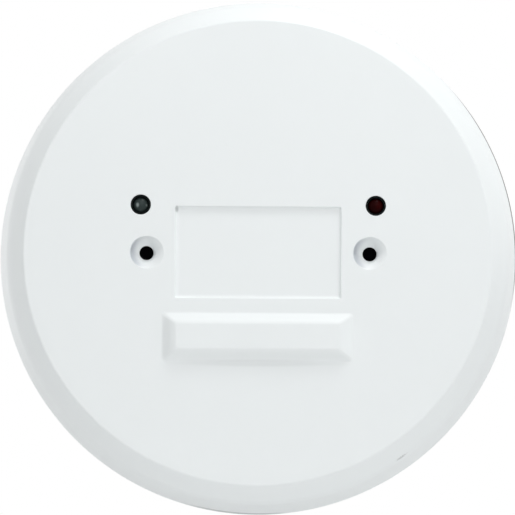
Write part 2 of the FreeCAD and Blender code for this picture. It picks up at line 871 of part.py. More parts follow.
def make_circuit_board():
    body = new_body("circuit_board")
    outline = front_sketch(body, "board_outline", board_back)
    inset = 2 * size.well_wall + 2 * size.board_gap
    draw_rounded_block(outline, size.well_width - inset, size.well_height - inset,
                       size.well_corner_round - size.well_wall)
    pad(body, "board", outline, size.board_thickness)
    clear = front_sketch(body, "clearance_outlines", board_front)
    draw_circles(clear, box_screw_places(), size.post_diameter + 2 * size.board_gap)
    draw_circles(clear, board_screw_places(), size.board_screw_diameter + 2 * size.screw_hole_gap)
    pocket(body, "clearances", clear, size.board_thickness)
    corners = front_sketch(body, "corner_outlines", board_front)
    draw_circles(corners, housing_screw_places(), size.housing_boss_diameter + 2 * size.board_gap)
    pocket(body, "corner_cuts", corners, size.board_thickness)
    leads = front_sketch(body, "lead_hole_outlines", board_front)
    for places, diameter in lead_holes():
        draw_circles(leads, places, diameter + 2 * size.lead_hole_gap)
    pocket(body, "lead_holes", leads, size.board_thickness)


# Indicator lights


def make_led(label, place):
    """A round light with its foot on the board, its dome just under the face and two leads."""
    body = new_body(label, across=place[0], depth=board_front, up=place[1])
    radius = size.led_diameter / 2
    barrel = lathe(body, "barrel", [
        (ZERO, ZERO),
        (size.led_flange_diameter / 2, ZERO),
        (size.led_flange_diameter / 2, -size.led_flange_thickness),
        (radius, -size.led_flange_thickness),
        (radius, -size.led_length),
        (ZERO, -size.led_length),
    ])
    round_edges(body, "dome", barrel, size.led_dome_round, lambda e: is_ring_at(e, -size.led_length))
    add_leads(body, pair(ZERO, ZERO, size.led_pitch, along_x=True), size.resistor_lead_diameter,
              ZERO, size.board_thickness + size.lead_tail, backwards=True)


def make_led_holder(label, place):
    """The black collar that carries a light and shows as a ring in the face."""
    body = new_body(label, across=place[0], depth=board_front, up=place[1])
    bore = size.led_diameter / 2 + size.led_fit_gap
    seat = size.led_flange_diameter / 2 + size.led_fit_gap
    seat_top = -(size.led_flange_thickness + size.led_fit_gap)
    shoulder = floor_plane + size.holder_foot_gap - board_front
    top = face_plane + size.holder_recess - board_front
    lathe(body, "collar", [
        (seat, ZERO),
        (size.holder_foot_diameter / 2, ZERO),
        (size.holder_foot_diameter / 2, shoulder),
        (size.holder_diameter / 2, shoulder),
        (size.holder_diameter / 2, top),
        (bore, top),
        (bore, seat_top),
        (seat, seat_top),
    ])


# Parts on the back of the board


def add_leads(body, places, diameter, start, length, backwards=False):
    sketch = front_sketch(body, "lead_outlines", start)
    draw_circles(sketch, places, diameter)
    pad(body, "leads", sketch, length, backwards=backwards)


def make_film_capacitor():
    """The moulded block that drops the mains voltage."""
    body = new_body("film_capacitor", film_across, board_back, size.film_up)
    outline = front_sketch(body, "block_outline", ZERO)
    draw_block(outline, ZERO, ZERO, size.film_width, size.film_length)
    block = pad(body, "block", outline, size.film_height, backwards=True)
    round_edges(body, "block_edges", block, size.film_corner_round,
                lambda e: not all(near(vertex.Point.y, 0) for vertex in e.Vertexes))
    add_leads(body, pair(ZERO, ZERO, size.film_pitch), size.film_lead_diameter, ZERO, -lead_end)


def make_smoothing_capacitor():
    """A can with its crimp near the foot."""
    body = new_body("smoothing_capacitor", can_across, board_back, size.can_up)
    radius = size.can_diameter / 2
    crimp = size.can_crimp_depth
    can = lathe(body, "can", [
        (ZERO, ZERO),
        (radius, ZERO),
        (radius, size.can_crimp_height - crimp),
        (radius - crimp, size.can_crimp_height),
        (radius, size.can_crimp_height + crimp),
        (radius, size.can_height),
        (ZERO, size.can_height),
    ])
    round_edges(body, "can_top", can, size.can_top_round, lambda e: is_ring_at(e, size.can_height))
    add_leads(body, pair(ZERO, ZERO, size.can_pitch, along_x=True), size.can_lead_diameter, ZERO, -lead_end)


def make_varistor():
    """A coated disc on edge, its centre above the board."""
    radius = size.varistor_diameter / 2
    centre = size.varistor_standoff + radius
    body = new_body("varistor", varistor_across, board_back + centre, size.varistor_up)
    half, bevel = size.varistor_thickness / 2, size.varistor_edge_bevel
    sketch = new_sketch(body, "disc_profile", TOP)
    draw_outline(sketch, [
        (-half, ZERO), (half, ZERO), (half, radius - bevel), (half - bevel, radius),
        (bevel - half, radius), (-half, radius - bevel),
    ])
    revolve(body, "disc", sketch, "H_Axis")
    add_leads(body, pair(ZERO, ZERO, size.varistor_pitch), size.varistor_lead_diameter,
              -radius / 2, centre - radius / 2 - lead_end)


def make_fuse():
    body = new_body("fuse", fuse_across, board_back, size.fuse_up)
    radius = size.fuse_diameter / 2
    drum = lathe(body, "drum", [
        (ZERO, ZERO), (radius, ZERO), (radius, size.fuse_height), (ZERO, size.fuse_height),
    ])
    round_edges(body, "drum_top", drum, size.can_top_round, lambda e: is_ring_at(e, size.fuse_height))
    add_leads(body, pair(ZERO, ZERO, size.fuse_pitch), size.fuse_lead_diameter, ZERO, -lead_end)


def draw_staple(sketch, half, bottom, top, radius):
    """An open path: up, round a bend, across, round a bend and down again."""
    h, t, r = half.number, top.number, radius.number
    sketch.addGeometry(Part.LineSegment(vector(-half, bottom), vector(-half, top - radius)), False)
    sketch.addGeometry(quarter_arc(r - h, t - r, r, 1), False)
    sketch.addGeometry(Part.LineSegment(vector(radius - half, top), vector(half - radius, top)), False)
    sketch.addGeometry(quarter_arc(h - r, t - r, r, 0), False)
    sketch.addGeometry(Part.LineSegment(vector(half, top - radius), vector(half, bottom)), False)
    for first, first_end, second, second_end in ((0, 2, 1, 2), (1, 1, 2, 1), (2, 2, 3, 2), (3, 1, 4, 1)):
        sketch.addConstraint(Sketcher.Constraint("Tangent", first, first_end, second, second_end))
    sketch.addConstraint(Sketcher.Constraint("Vertical", 0))
    sketch.addConstraint(Sketcher.Constraint("Vertical", 4))
    sketch.addConstraint(Sketcher.Constraint("Horizontal", 2))
    sketch.addConstraint(Sketcher.Constraint("Equal", 1, 3))
    bind(sketch, "bend", Sketcher.Constraint("Radius", 1, r), radius)
    place_point(sketch, 0, 1, -half, bottom)
    place_point(sketch, 4, 2, half, bottom)
    bind(sketch, "height", Sketcher.Constraint("DistanceY", -1, 1, 2, 1, t), top)


def make_axial(label, across, up, length, diameter, neck, lead, pitch, along_x=True, count=None, step=None):
    """A part with a lead out of each end, bent down into the board; count copies stand in a row."""
    body = new_body(label, across, board_back, up)
    if not along_x:
        body.Placement.Rotation = FreeCAD.Rotation(FreeCAD.Vector(0, 1, 0), 90)
    height = diameter / 2 + size.axial_standoff
    half, radius, waist = length / 2, diameter / 2, neck / 2
    cap_start, waist_end = half * size.axial_cap_share, half * size.axial_waist_share
    profile = new_sketch(body, "barrel_profile", TOP)
    draw_outline(profile, [
        (-half, height), (half, height), (half, height + radius), (cap_start, height + radius),
        (waist_end, height + waist), (-waist_end, height + waist), (-cap_start, height + radius),
        (-half, height + radius),
    ])
    barrel = revolve(body, "barrel", profile, "Edge1")
    path = new_sketch(body, "wire_path", TOP)
    draw_staple(path, pitch / 2, lead_end, height, lead * size.axial_bend)
    section = front_sketch(body, "wire_section", lead_end)
    draw_circle(section, -pitch / 2, ZERO, lead)
    wire = body.newObject("PartDesign::AdditivePipe", "wire")
    wire.Profile = section
    wire.Spine = path
    body.Tip = wire
    if count is not None:
        row = body.newObject("PartDesign::LinearPattern", "row")
        row.Originals = [barrel, wire]
        row.Direction = (profile, ["N_Axis"])
        row.Mode = "Extent"
        row.setExpression("Length", ((count - 1) * step).formula)
        row.setExpression("Occurrences", count.formula)
        body.Tip = row


def chip_leg_places(across, up, pitch):
    row = size.leg_row_spacing / 2
    return [(across + x * row, up + z * pitch / 2) for x in (-1, 1) for z in (-1, 1)]


def make_chip(label, across, up, length, pitch):
    """A moulded block with two bent legs on each side."""
    body = new_body(label, across, board_back, up)
    outline = front_sketch(body, "block_outline", size.chip_standoff)
    draw_block(outline, ZERO, ZERO, size.chip_width, length)
    block = pad(body, "block", outline, size.chip_height, backwards=True)
    top = size.chip_standoff + size.chip_height
    doc.recompute()
    rims = [f"Edge{index}" for index, edge in enumerate(block.Shape.Edges, start=1)
            if all(near(vertex.Point.y, top) for vertex in edge.Vertexes)]
    bevel = body.newObject("PartDesign::Chamfer", "block_bevel")
    bevel.Base = (block, rims)
    bevel.setExpression("Size", size.chip_slope.formula)
    body.Tip = bevel
    middle = size.chip_standoff + size.chip_height / 2
    inner, row, half = size.chip_width / 2 - size.chip_slope, size.leg_row_spacing / 2, size.leg_thickness / 2
    for name, place in (("lower", -1), ("upper", 1)):
        legs = new_sketch(body, f"{name}_leg_outlines", TOP, place * pitch / 2)
        for hand in (-1, 1):
            draw_outline(legs, [
                (hand * inner, middle + half), (hand * (row + half), middle + half),
                (hand * (row + half), lead_end), (hand * (row - half), lead_end),
                (hand * (row - half), middle - half), (hand * inner, middle - half),
            ])
        pad(body, f"{name}_legs", legs, size.leg_width, side="Symmetric")


def transistor_places(across, up):
    """Three leads in a row behind the flat."""
    return [(across + index * size.transistor_pitch, up) for index in (-1, 0, 1)]


def make_transistor():
    """A small round block with one flat side, on three leads."""
    body = new_body("transistor", transistor_across, board_back, size.transistor_up)
    outline = front_sketch(body, "drum_outline", size.transistor_standoff)
    draw_circle(outline, ZERO, ZERO, 2 * size.transistor_radius)
    pad(body, "drum", outline, size.transistor_height, backwards=True)
    flat = front_sketch(body, "flat_outline", size.transistor_standoff)
    draw_block(flat, ZERO, size.transistor_flat + size.transistor_radius, 4 * size.transistor_radius,
               2 * size.transistor_radius)
    pocket(body, "flat", flat, size.transistor_height)
    add_leads(body, transistor_places(ZERO, ZERO), size.transistor_lead_diameter, size.transistor_standoff,
              size.transistor_standoff - lead_end)


# Relay: X is its width, Y its height above the board, Z its length with the hinge at the low end


def relay_body(label):
    return new_body(label, relay_across, board_back, size.relay_up)


def case_inside():
    return size.relay_length / 2 - size.relay_case_wall


def yoke_back():
    return -(case_inside() - size.yoke_inset)


def core_place():
    return yoke_back() + size.core_reach


def coil_pin_reach():
    return core_place() + size.bobbin_flange_length / 2 + size.bobbin_shelf_length - size.coil_pin_inset


def terminal_face():
    return case_inside() - size.terminal_inset


def sine(angle):
    """The sine of an angle in degrees."""
    return Size(sin(radians(angle.number)), f"sin({angle.formula})")


def add_bar(body, name, x, z, width, length, start, end):
    """A rectangular bar along the relay's height, from start to end."""
    sketch = front_sketch(body, f"{name}_outline", start)
    draw_block(sketch, as_size(x), as_size(z), width, length)
    return pad(body, name, sketch, end - start, backwards=True)


def make_relay_cover():
    body = relay_body("relay_cover")
    box = add_bar(body, "box", ZERO, ZERO, size.relay_width, size.relay_length, ZERO, size.relay_height)
    round_edges(body, "box_edges", box, size.relay_case_round,
                lambda e: not all(near(vertex.Point.y, 0) for vertex in e.Vertexes))
    cavity = front_sketch(body, "cavity_outline", ZERO)
    draw_block(cavity, ZERO, ZERO, size.relay_width - 2 * size.relay_case_wall, 2 * case_inside())
    pocket(body, "cavity", cavity, size.relay_height - size.relay_case_wall)


def make_relay_base():
    body = relay_body("relay_base")
    inset = size.relay_case_wall + size.relay_case_gap
    add_bar(body, "plate", ZERO, ZERO, size.relay_width - 2 * inset, size.relay_length - 2 * inset,
            ZERO, size.relay_base_thickness)
    slots = front_sketch(body, "slot_outlines", ZERO)
    gap = 2 * size.pin_slot_gap
    for hand in (-1, 1):
        draw_block(slots, hand * size.coil_pin_spacing / 2, coil_pin_reach(),
                   size.coil_pin_size + gap, size.coil_pin_size + gap)
        draw_block(slots, hand * size.terminal_spread / 2, terminal_face() - size.terminal_thickness / 2,
                   size.terminal_width + gap, size.terminal_thickness + gap)
    draw_block(slots, ZERO, yoke_back() + size.common_pin_reach,
               size.terminal_pin_width + gap, size.terminal_thickness + gap)
    pocket(body, "slots", slots, size.relay_base_thickness)


def make_relay_yoke():
    """The bent iron frame: a foot under the coil and a leg up to the hinge edge."""
    body = relay_body("relay_yoke")
    back, foot = yoke_back(), size.relay_base_thickness
    sketch = new_sketch(body, "yoke_profile", SIDE)
    draw_outline(sketch, [
        (foot, back), (foot, back + size.yoke_foot_length),
        (foot + size.yoke_thickness, back + size.yoke_foot_length),
        (foot + size.yoke_thickness, back + size.yoke_thickness),
        (size.yoke_top, back + size.yoke_thickness), (size.yoke_top, back),
    ])
    frame = pad(body, "frame", sketch, size.yoke_width, side="Symmetric")
    round_edges(body, "bend", frame, size.yoke_thickness / 2,
                lambda e: all(near(v.Point.y, foot) and near(v.Point.z, back) for v in e.Vertexes))
    hole = front_sketch(body, "core_hole_outline", foot)
    draw_circle(hole, ZERO, core_place(), size.core_diameter + 2 * size.bobbin_gap)
    pocket(body, "core_hole", hole, size.yoke_thickness)


def make_relay_core():
    """The iron core, riveted in the yoke's foot, with its pole face level with the hinge edge."""
    body = new_body("relay_core", relay_across, board_back, size.relay_up + core_place())
    pole_base = size.yoke_top - size.pole_thickness
    lathe(body, "core", [
        (ZERO, size.relay_base_thickness),
        (size.core_diameter / 2, size.relay_base_thickness),
        (size.core_diameter / 2, pole_base),
        (size.pole_diameter / 2, pole_base),
        (size.pole_diameter / 2, size.yoke_top),
        (ZERO, size.yoke_top),
    ])


def make_coil_bobbin():
    """A tube with two square flanges; the lower one carries the coil pins on a shelf."""
    body = relay_body("coil_bobbin")
    low = size.relay_base_thickness + size.yoke_thickness
    high = size.yoke_top - size.pole_thickness
    centre, half = core_place(), size.bobbin_flange_length / 2
    lip = size.bobbin_flange_thickness
    add_bar(body, "lower_flange", ZERO, centre + size.bobbin_shelf_length / 2, size.bobbin_flange_width,
            2 * half + size.bobbin_shelf_length, low, low + lip)
    tube = front_sketch(body, "tube_outline", low)
    draw_circle(tube, ZERO, centre, size.core_diameter + 2 * size.bobbin_gap + 2 * size.bobbin_tube_wall)
    pad(body, "tube", tube, high - low, backwards=True)
    add_bar(body, "upper_flange", ZERO, centre, size.bobbin_flange_width, 2 * half, high - lip, high)
    bore = front_sketch(body, "bore_outline", low)
    draw_circle(bore, ZERO, centre, size.core_diameter + 2 * size.bobbin_gap)
    for hand in (-1, 1):
        gap = 2 * size.pin_slot_gap
        draw_block(bore, hand * size.coil_pin_spacing / 2, coil_pin_reach(),
                   size.coil_pin_size + gap, size.coil_pin_size + gap)
    pocket(body, "bore", bore, high - low)


def make_coil_winding():
    """The wound wire as one drum between the bobbin's flanges."""
    body = relay_body("coil_winding")
    low = size.relay_base_thickness + size.yoke_thickness + size.bobbin_flange_thickness
    high = size.yoke_top - size.pole_thickness - size.bobbin_flange_thickness
    ring = front_sketch(body, "drum_outline", low + size.bobbin_gap)
    draw_circle(ring, ZERO, core_place(), size.winding_diameter)
    inner = size.core_diameter + 2 * size.bobbin_tube_wall + 4 * size.bobbin_gap
    draw_circle(ring, ZERO, core_place(), inner)
    pad(body, "drum", ring, high - low - 2 * size.bobbin_gap, backwards=True)


def make_coil_pins():
    """Two square pins that stand in the bobbin's shelf and go down through base and board."""
    body = relay_body("coil_pins")
    top = size.relay_base_thickness + size.yoke_thickness + 2 * size.bobbin_flange_thickness
    pins = front_sketch(body, "pin_outlines", lead_end)
    for hand in (-1, 1):
        draw_block(pins, hand * size.coil_pin_spacing / 2, coil_pin_reach(),
                   size.coil_pin_size, size.coil_pin_size)
    pad(body, "pins", pins, top - lead_end, backwards=True)


def make_common_terminal():
    """The pin under the yoke's foot: the yoke and the blade carry the common contact."""
    body = relay_body("common_terminal")
    add_bar(body, "pin", ZERO, yoke_back() + size.common_pin_reach, size.terminal_pin_width,
            size.terminal_thickness, lead_end, size.relay_base_thickness)


def closed_contact_height():
    """The underside of the resting contact, just above the raised contact of the blade."""
    top = size.residual_gap + size.armature_thickness + size.blade_thickness + size.contact_thickness
    lift = (size.contact_reach + size.contact_diameter / 2) * sine(size.open_angle)
    return size.yoke_top + top + lift + size.contact_gap


def open_contact_height():
    """The top of the working contact, just below the blade's contact when the coil has pulled in."""
    return (size.yoke_top + size.residual_gap + size.armature_thickness - size.contact_thickness
            - size.contact_gap)


def make_contact_terminal(label, hand, arm_bottom):
    """A strip up from the board beside the end wall, with an arm at the top that carries a contact."""
    body = relay_body(label)
    thick = size.terminal_thickness
    face = terminal_face()
    x = hand * size.terminal_spread / 2
    add_bar(body, "strip", x, face - thick / 2, size.terminal_width, thick, ZERO, arm_bottom + thick)
    contact_z = yoke_back() + size.contact_reach
    outer = size.terminal_spread / 2 + size.terminal_width / 2
    inner = size.contact_diameter / 2
    arm_start = contact_z - inner
    add_bar(body, "arm", hand * (outer - inner) / 2, (arm_start + face) / 2, outer + inner, face - arm_start,
            arm_bottom, arm_bottom + thick)
    add_bar(body, "pin", x, face - thick / 2, size.terminal_pin_width, thick, lead_end, ZERO)


def make_fixed_contacts():
    """The two contact buttons, one under each arm's inner side."""
    body = relay_body("fixed_contacts")
    contact_z = yoke_back() + size.contact_reach
    starts = (("open_button", open_contact_height() - size.contact_thickness),
              ("closed_button", closed_contact_height()))
    for name, start in starts:
        sketch = front_sketch(body, f"{name}_outline", start)
        draw_circle(sketch, ZERO, contact_z, size.contact_diameter)
        pad(body, name, sketch, size.contact_thickness, backwards=True)


def make_return_spring():
    """A flat spring on the yoke's back, jogged out round the armature's tail and hooked over it."""
    body = relay_body("return_spring")
    thick = size.return_spring_thickness
    back = yoke_back()
    tail = back - size.armature_tail - size.return_spring_gap
    top = size.yoke_top + size.residual_gap + size.armature_thickness + size.return_spring_gap
    jog_end = size.yoke_top - size.armature_tail
    jog_start = jog_end - 2 * size.armature_tail
    hook = back + size.armature_tail
    sketch = new_sketch(body, "strip_profile", SIDE)
    draw_outline(sketch, [
        (size.yoke_top - size.return_spring_seat, back), (jog_start, back), (jog_end, tail), (top, tail),
        (top, hook), (top + thick, hook), (top + thick, tail - thick), (jog_end - thick / 2, tail - thick),
        (jog_start - thick / 2, back - thick), (size.yoke_top - size.return_spring_seat, back - thick),
    ])
    pad(body, "strip", sketch, size.return_spring_width, side="Symmetric")


# Swinging parts, drawn closed about the hinge edge and then opened by the resting angle


def swinging_body(label):
    body = new_body(label, relay_across, board_back + size.yoke_top, size.relay_up + yoke_back())
    body.Placement.Rotation = FreeCAD.Rotation(FreeCAD.Vector(-1, 0, 0), size.open_angle.number)
    body.setExpression("Placement.Rotation.Angle", size.open_angle.formula)
    return body


def rivet_places():
    """Two rivets, one before and one behind the middle of the pole."""
    return [(ZERO, size.core_reach + hand * size.rivet_spacing / 2) for hand in (-1, 1)]


def make_armature():
    """The iron plate, wide at the hinge and over the pole, narrowed towards the contacts."""
    body = swinging_body("armature")
    low = size.residual_gap
    front = size.armature_length - size.armature_tail
    shoulder = size.core_reach + size.pole_diameter / 2
    wide, narrow = size.armature_width / 2, size.armature_waist / 2
    outline = front_sketch(body, "plate_outline", low)
    draw_outline(outline, [
        (-wide, -size.armature_tail), (wide, -size.armature_tail), (wide, shoulder), (narrow, shoulder),
        (narrow, front), (-narrow, front), (-narrow, shoulder), (-wide, shoulder),
    ])
    pad(body, "plate", outline, size.armature_thickness, backwards=True)
    holes = front_sketch(body, "rivet_hole_outlines", low)
    draw_circles(holes, rivet_places(), size.rivet_diameter + 2 * size.residual_gap)
    pocket(body, "rivet_holes", holes, size.armature_thickness)


def make_contact_blade():
    """The springy strip on the armature that carries the moving contact."""
    body = swinging_body("contact_blade")
    low = size.residual_gap + size.armature_thickness
    length = size.blade_end - size.blade_start
    outline = front_sketch(body, "strip_outline", low)
    draw_block(outline, ZERO, size.blade_start + length / 2, size.blade_width, length)
    pad(body, "strip", outline, size.blade_thickness, backwards=True)
    holes = front_sketch(body, "hole_outlines", low)
    draw_circles(holes, rivet_places(), size.rivet_diameter + 2 * size.residual_gap)
    draw_circle(holes, ZERO, size.contact_reach, size.contact_shank_diameter + 2 * size.residual_gap)
    pocket(body, "holes", holes, size.blade_thickness)


def make_blade_rivets():
    body = swinging_body("blade_rivets")
    top = size.residual_gap + size.armature_thickness + size.blade_thickness
    shanks = front_sketch(body, "shank_outlines", size.residual_gap)
    draw_circles(shanks, rivet_places(), size.rivet_diameter)
    pad(body, "shanks", shanks, top - size.residual_gap, backwards=True)
    heads = front_sketch(body, "head_outlines", top)
    draw_circles(heads, rivet_places(), size.rivet_head_diameter)
    pad(body, "heads", heads, size.blade_thickness, backwards=True)


def make_moving_contact():
    """A double-headed button through the end of the blade."""
    body = swinging_body("moving_contact")
    low = size.residual_gap + size.armature_thickness
    high = low + size.blade_thickness
    place = [(ZERO, size.contact_reach)]
    for name, diameter, start, length in (
        ("lower_head", size.contact_diameter, low - size.contact_thickness, size.contact_thickness),
        ("shank", size.contact_shank_diameter, low, size.blade_thickness),
        ("upper_head", size.contact_diameter, high, size.contact_thickness),
    ):
        sketch = front_sketch(body, f"{name}_outline", start)
        draw_circles(sketch, place, diameter)
        pad(body, name, sketch, length, backwards=True)


# The whole module


def make_enclosure():
    make_cover()
    make_rear_housing()
    for label, place in zip(("supply_grommet", "contact_grommet"), grommet_places()):
        make_grommet(label, place)
    make_screws("housing_screws", housing_screw_places(), flange_back, size.housing_head_diameter,
                size.housing_screw_diameter, size.housing_screw_length)


def make_board_parts():
    make_circuit_board()
    make_screws("board_screws", board_screw_places(), board_back, size.board_head_diameter,
                size.board_screw_diameter, size.board_screw_length)
    for name, place in zip(("power_led", "relay_led"), led_places()):
        make_led(name, place)
        make_led_holder(f"{name}_holder", place)
    make_film_capacitor()
    make_smoothing_capacitor()
    make_varistor()
    make_fuse()
    make_axial("surge_resistor", surge_across, size.surge_up, size.surge_length,
               size.surge_diameter, size.surge_neck, size.surge_lead_diameter, size.surge_pitch,
               along_x=False)
    for label, across, up in (("zener_diode", zener_across, size.zener_up),
                              ("flyback_diode", flyback_across, size.flyback_up)):
        make_axial(label, across, up, size.diode_length, size.diode_diameter, size.diode_diameter,
                   size.diode_lead_diameter, size.diode_pitch)
    make_axial("resistors", resistor_across, size.resistor_up, size.resistor_length,
               size.resistor_diameter, size.resistor_neck, size.resistor_lead_diameter, size.resistor_pitch,
               count=size.resistor_count, step=size.resistor_step)
    make_chip("bridge_rectifier", bridge_across, size.bridge_up, size.bridge_length,
              size.bridge_leg_pitch)
    make_chip("optocoupler", opto_across, size.opto_up, size.opto_length, size.leg_pitch)
    make_transistor()


def make_relay():
    make_relay_cover()
    make_relay_base()
    make_relay_yoke()
    make_relay_core()
    make_coil_bobbin()
    make_coil_winding()
    make_coil_pins()
    make_common_terminal()
    make_contact_terminal("open_contact_terminal", -1,
                          open_contact_height() - size.contact_thickness - size.terminal_thickness)
    make_contact_terminal("closed_contact_terminal", 1, closed_contact_height() + size.contact_thickness)
    make_fixed_contacts()
    make_return_spring()
    make_armature()
    make_contact_blade()
    make_blade_rivets()
    make_moving_contact()


def main():
    make_enclosure()
    make_board_parts()
    make_relay()
    write_parts()


def write_parts():
    """Checks every object and sub-part, then writes one file per sub-part."""
    doc.recompute()
    for item in doc.Objects:
        state = set(item.State)
        if state & {"Invalid", "Error"}:
            raise RuntimeError(f"{item.Name} is {item.State}")
        if item.TypeId in ("PartDesign::Pocket", "PartDesign::Groove"):
            if item.Shape.Volume > item.BaseFeature.Shape.Volume - LEAST_CUT:
                raise RuntimeError(f"{item.Name} cuts nothing")
    sub_parts = [item for item in doc.Objects if item.TypeId == "PartDesign::Body"]
    for item in sub_parts:
        if item.Shape.isNull() or not item.Shape.isValid():
            raise RuntimeError(f"{item.Label} has no sound shape")
    os.makedirs("parts", exist_ok=True)
    for item in sub_parts:
        item.Shape.exportStep(f"parts/{item.Label}.step")
        print(item.Label, len(item.Shape.Solids), round(item.Shape.Volume, 2))


main()
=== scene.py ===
"""The finished pieces of a smoke detector relay module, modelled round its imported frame, and its studio."""

import math
from contextlib import contextmanager

import bmesh
import bpy
from bpy.props import FloatProperty, FloatVectorProperty, PointerProperty
from mathutils import Matrix, Vector


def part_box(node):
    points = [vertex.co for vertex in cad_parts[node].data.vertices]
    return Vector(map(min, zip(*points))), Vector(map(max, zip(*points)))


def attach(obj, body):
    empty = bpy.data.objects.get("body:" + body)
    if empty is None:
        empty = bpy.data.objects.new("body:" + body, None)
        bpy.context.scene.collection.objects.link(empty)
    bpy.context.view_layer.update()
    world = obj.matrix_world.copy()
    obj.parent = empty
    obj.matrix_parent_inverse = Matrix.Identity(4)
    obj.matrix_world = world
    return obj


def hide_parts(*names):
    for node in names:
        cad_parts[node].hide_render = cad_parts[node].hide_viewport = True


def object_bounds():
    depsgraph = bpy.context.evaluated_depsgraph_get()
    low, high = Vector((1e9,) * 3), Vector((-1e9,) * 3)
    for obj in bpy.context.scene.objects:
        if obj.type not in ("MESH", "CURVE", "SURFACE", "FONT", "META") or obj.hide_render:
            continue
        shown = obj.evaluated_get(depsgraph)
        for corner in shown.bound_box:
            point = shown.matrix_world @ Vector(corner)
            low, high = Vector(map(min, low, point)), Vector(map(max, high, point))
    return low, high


bl_info = {
    "name": "Smoke detector relay module",
    "version": (1, 0, 0),
    "blender": (4, 5, 0),
    "location": "3D View > Sidebar > Relay module",
    "description": "Models the cover, housing, lights, bushes and screws of a relay module and its studio",
    "category": "Object",
}

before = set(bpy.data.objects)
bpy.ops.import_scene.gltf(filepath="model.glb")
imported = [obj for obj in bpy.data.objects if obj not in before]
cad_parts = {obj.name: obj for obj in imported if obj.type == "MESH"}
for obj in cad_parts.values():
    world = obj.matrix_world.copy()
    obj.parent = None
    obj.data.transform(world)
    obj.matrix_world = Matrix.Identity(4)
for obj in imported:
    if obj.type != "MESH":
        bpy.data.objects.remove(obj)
cad_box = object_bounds()

QUARTER = math.pi / 2
STEPS_COARSE, STEPS_FINE, STEPS_COVER = 48, 96, 288
GUSSETS = 12
FLAT = 1e6  # a stretch that takes a direction out of a pattern


def mm(value):
    return value / 1000


LAP = mm(1)  # how far a tool or a joined solid reaches past the face that it meets
BOARD_SCREWS = mm(61), mm(42)
SCREW_HEAD = mm(1.6)


def length(name, value, description):
    return FloatProperty(name=name, description=description, default=mm(value), min=0, unit="LENGTH",
                         subtype="DISTANCE", precision=5)


def colour(name, value, description):
    return FloatVectorProperty(name=name, description=description, default=value, min=0, max=1, size=3,
                               subtype="COLOR")


def angle(name, degrees, description):
    return FloatProperty(name=name, description=description, default=math.radians(degrees), unit="ROTATION",
                         subtype="ANGLE")


# Sizes and colours that a user would change


class CoverSizes(bpy.types.PropertyGroup):
    """The white cover, in the frame's metres"""

    face_radius: length("Face radius", 73.5, "Edge of the flat face")
    break_radius: length("Break radius", 78.6, "Edge between the slope and the side band")
    base_radius: length("Base radius", 81.0, "Widest circle, on the wall")
    depth: length("Depth", 15.6, "Face to wall")
    slope_drop: length("Slope drop", 6.1, "Depth of the slope")
    wall: length("Wall", 2.4, "Thickness of the moulding")
    face_edge: length("Face edge", 0.5, "Half width of the soft edge of the face")
    break_edge: length("Break edge", 1.6, "Half width of the soft edge between slope and side band")
    recess_width: length("Recess width", 51.9, "Shallow recess for a label")
    recess_height: length("Recess height", 28.8, "Shallow recess for a label")
    recess_depth: length("Recess depth", 1.0, "Shallow recess for a label")
    bar_drop: length("Bar drop", 26.7, "Middle of the raised bar below the middle of the face")
    bar_width: length("Bar width", 59.4, "Raised bar at the face")
    bar_height: length("Bar height", 14.8, "Raised bar at the face")
    bar_side_slope: length("Bar side slope", 3.7, "Width of the bar's slope on the left and right")
    bar_end_slope: length("Bar end slope", 2.9, "Width of the bar's slope above and below")
    bar_rise: length("Bar rise", 2.6, "Height of the bar above the face")
    screw_spacing: length("Box screw spacing", 69.85, "Between the two dished holes")
    hole_diameter: length("Hole diameter", 4.45, "Clearance for a box screw")
    dish_diameter: length("Dish diameter", 10.0, "Bowl round a box-screw hole")
    dish_depth: length("Dish depth", 3.3, "Depth of the whole bowl")
    post_diameter: length("Post diameter", 9.2, "Post round a box screw behind the face")


class LightSizes(bpy.types.PropertyGroup):
    """The two indicator lights and their collars"""

    spacing: length("Spacing", 73.6, "Between the two lights")
    rise: length("Rise", 14.9, "Lights above the middle of the face")
    lens_diameter: length("Lens diameter", 5.0, "Barrel of a light")
    collar_diameter: length("Collar diameter", 6.25, "Black collar in the face")
    hole_gap: length("Hole gap", 0.05, "Collar to cover")


class HousingSizes(bpy.types.PropertyGroup):
    """The rear housing: flange and tub"""

    width: length("Flange width", 98.0, "Flange, left to right")
    height: length("Flange height", 62.0, "Flange, bottom to top")
    corner: length("Flange corner", 5.0, "Corner radius of the flange")
    tub_width: length("Tub width", 56.0, "Tub at the flange, left to right")
    tub_height: length("Tub height", 54.0, "Tub at the flange, bottom to top")
    tub_depth: length("Tub depth", 24.0, "Back of the tub behind the wall plane")
    tub_wall: length("Tub wall", 2.0, "Thickness of the tub")
    back_round: length("Back round", 2.2, "Radius of the tub's back edge")
    draft: angle("Draft", 1.5, "Slope of the tub's sides")
    screw_across: length("Screws across", 87.0, "Housing screws, left to right")
    screw_up: length("Screws up", 51.0, "Housing screws, bottom to top")
    bush_spacing: length("Bush spacing", 22.0, "Between the two rubber bushes")
    bush_drop: length("Bush drop", 13.0, "Bushes below the middle")


class Finishes(bpy.types.PropertyGroup):
    """Colours of the finishes"""

    cover: colour("Cover", (0.84, 0.875, 0.88), "White satin moulding of the cover")
    housing: colour("Housing", (0.74, 0.75, 0.72), "Off-white moulding of the rear housing")
    power_lens: colour("Power lens", (0.014, 0.021, 0.02), "Smoky lens on the left")
    relay_lens: colour("Relay lens", (0.005, 0.0004, 0.0004), "Dark red lens on the right")
    rubber: colour("Rubber", (0.018, 0.018, 0.019), "Bushes for the leads")
    zinc: colour("Zinc", (0.62, 0.63, 0.64), "Plated screws")


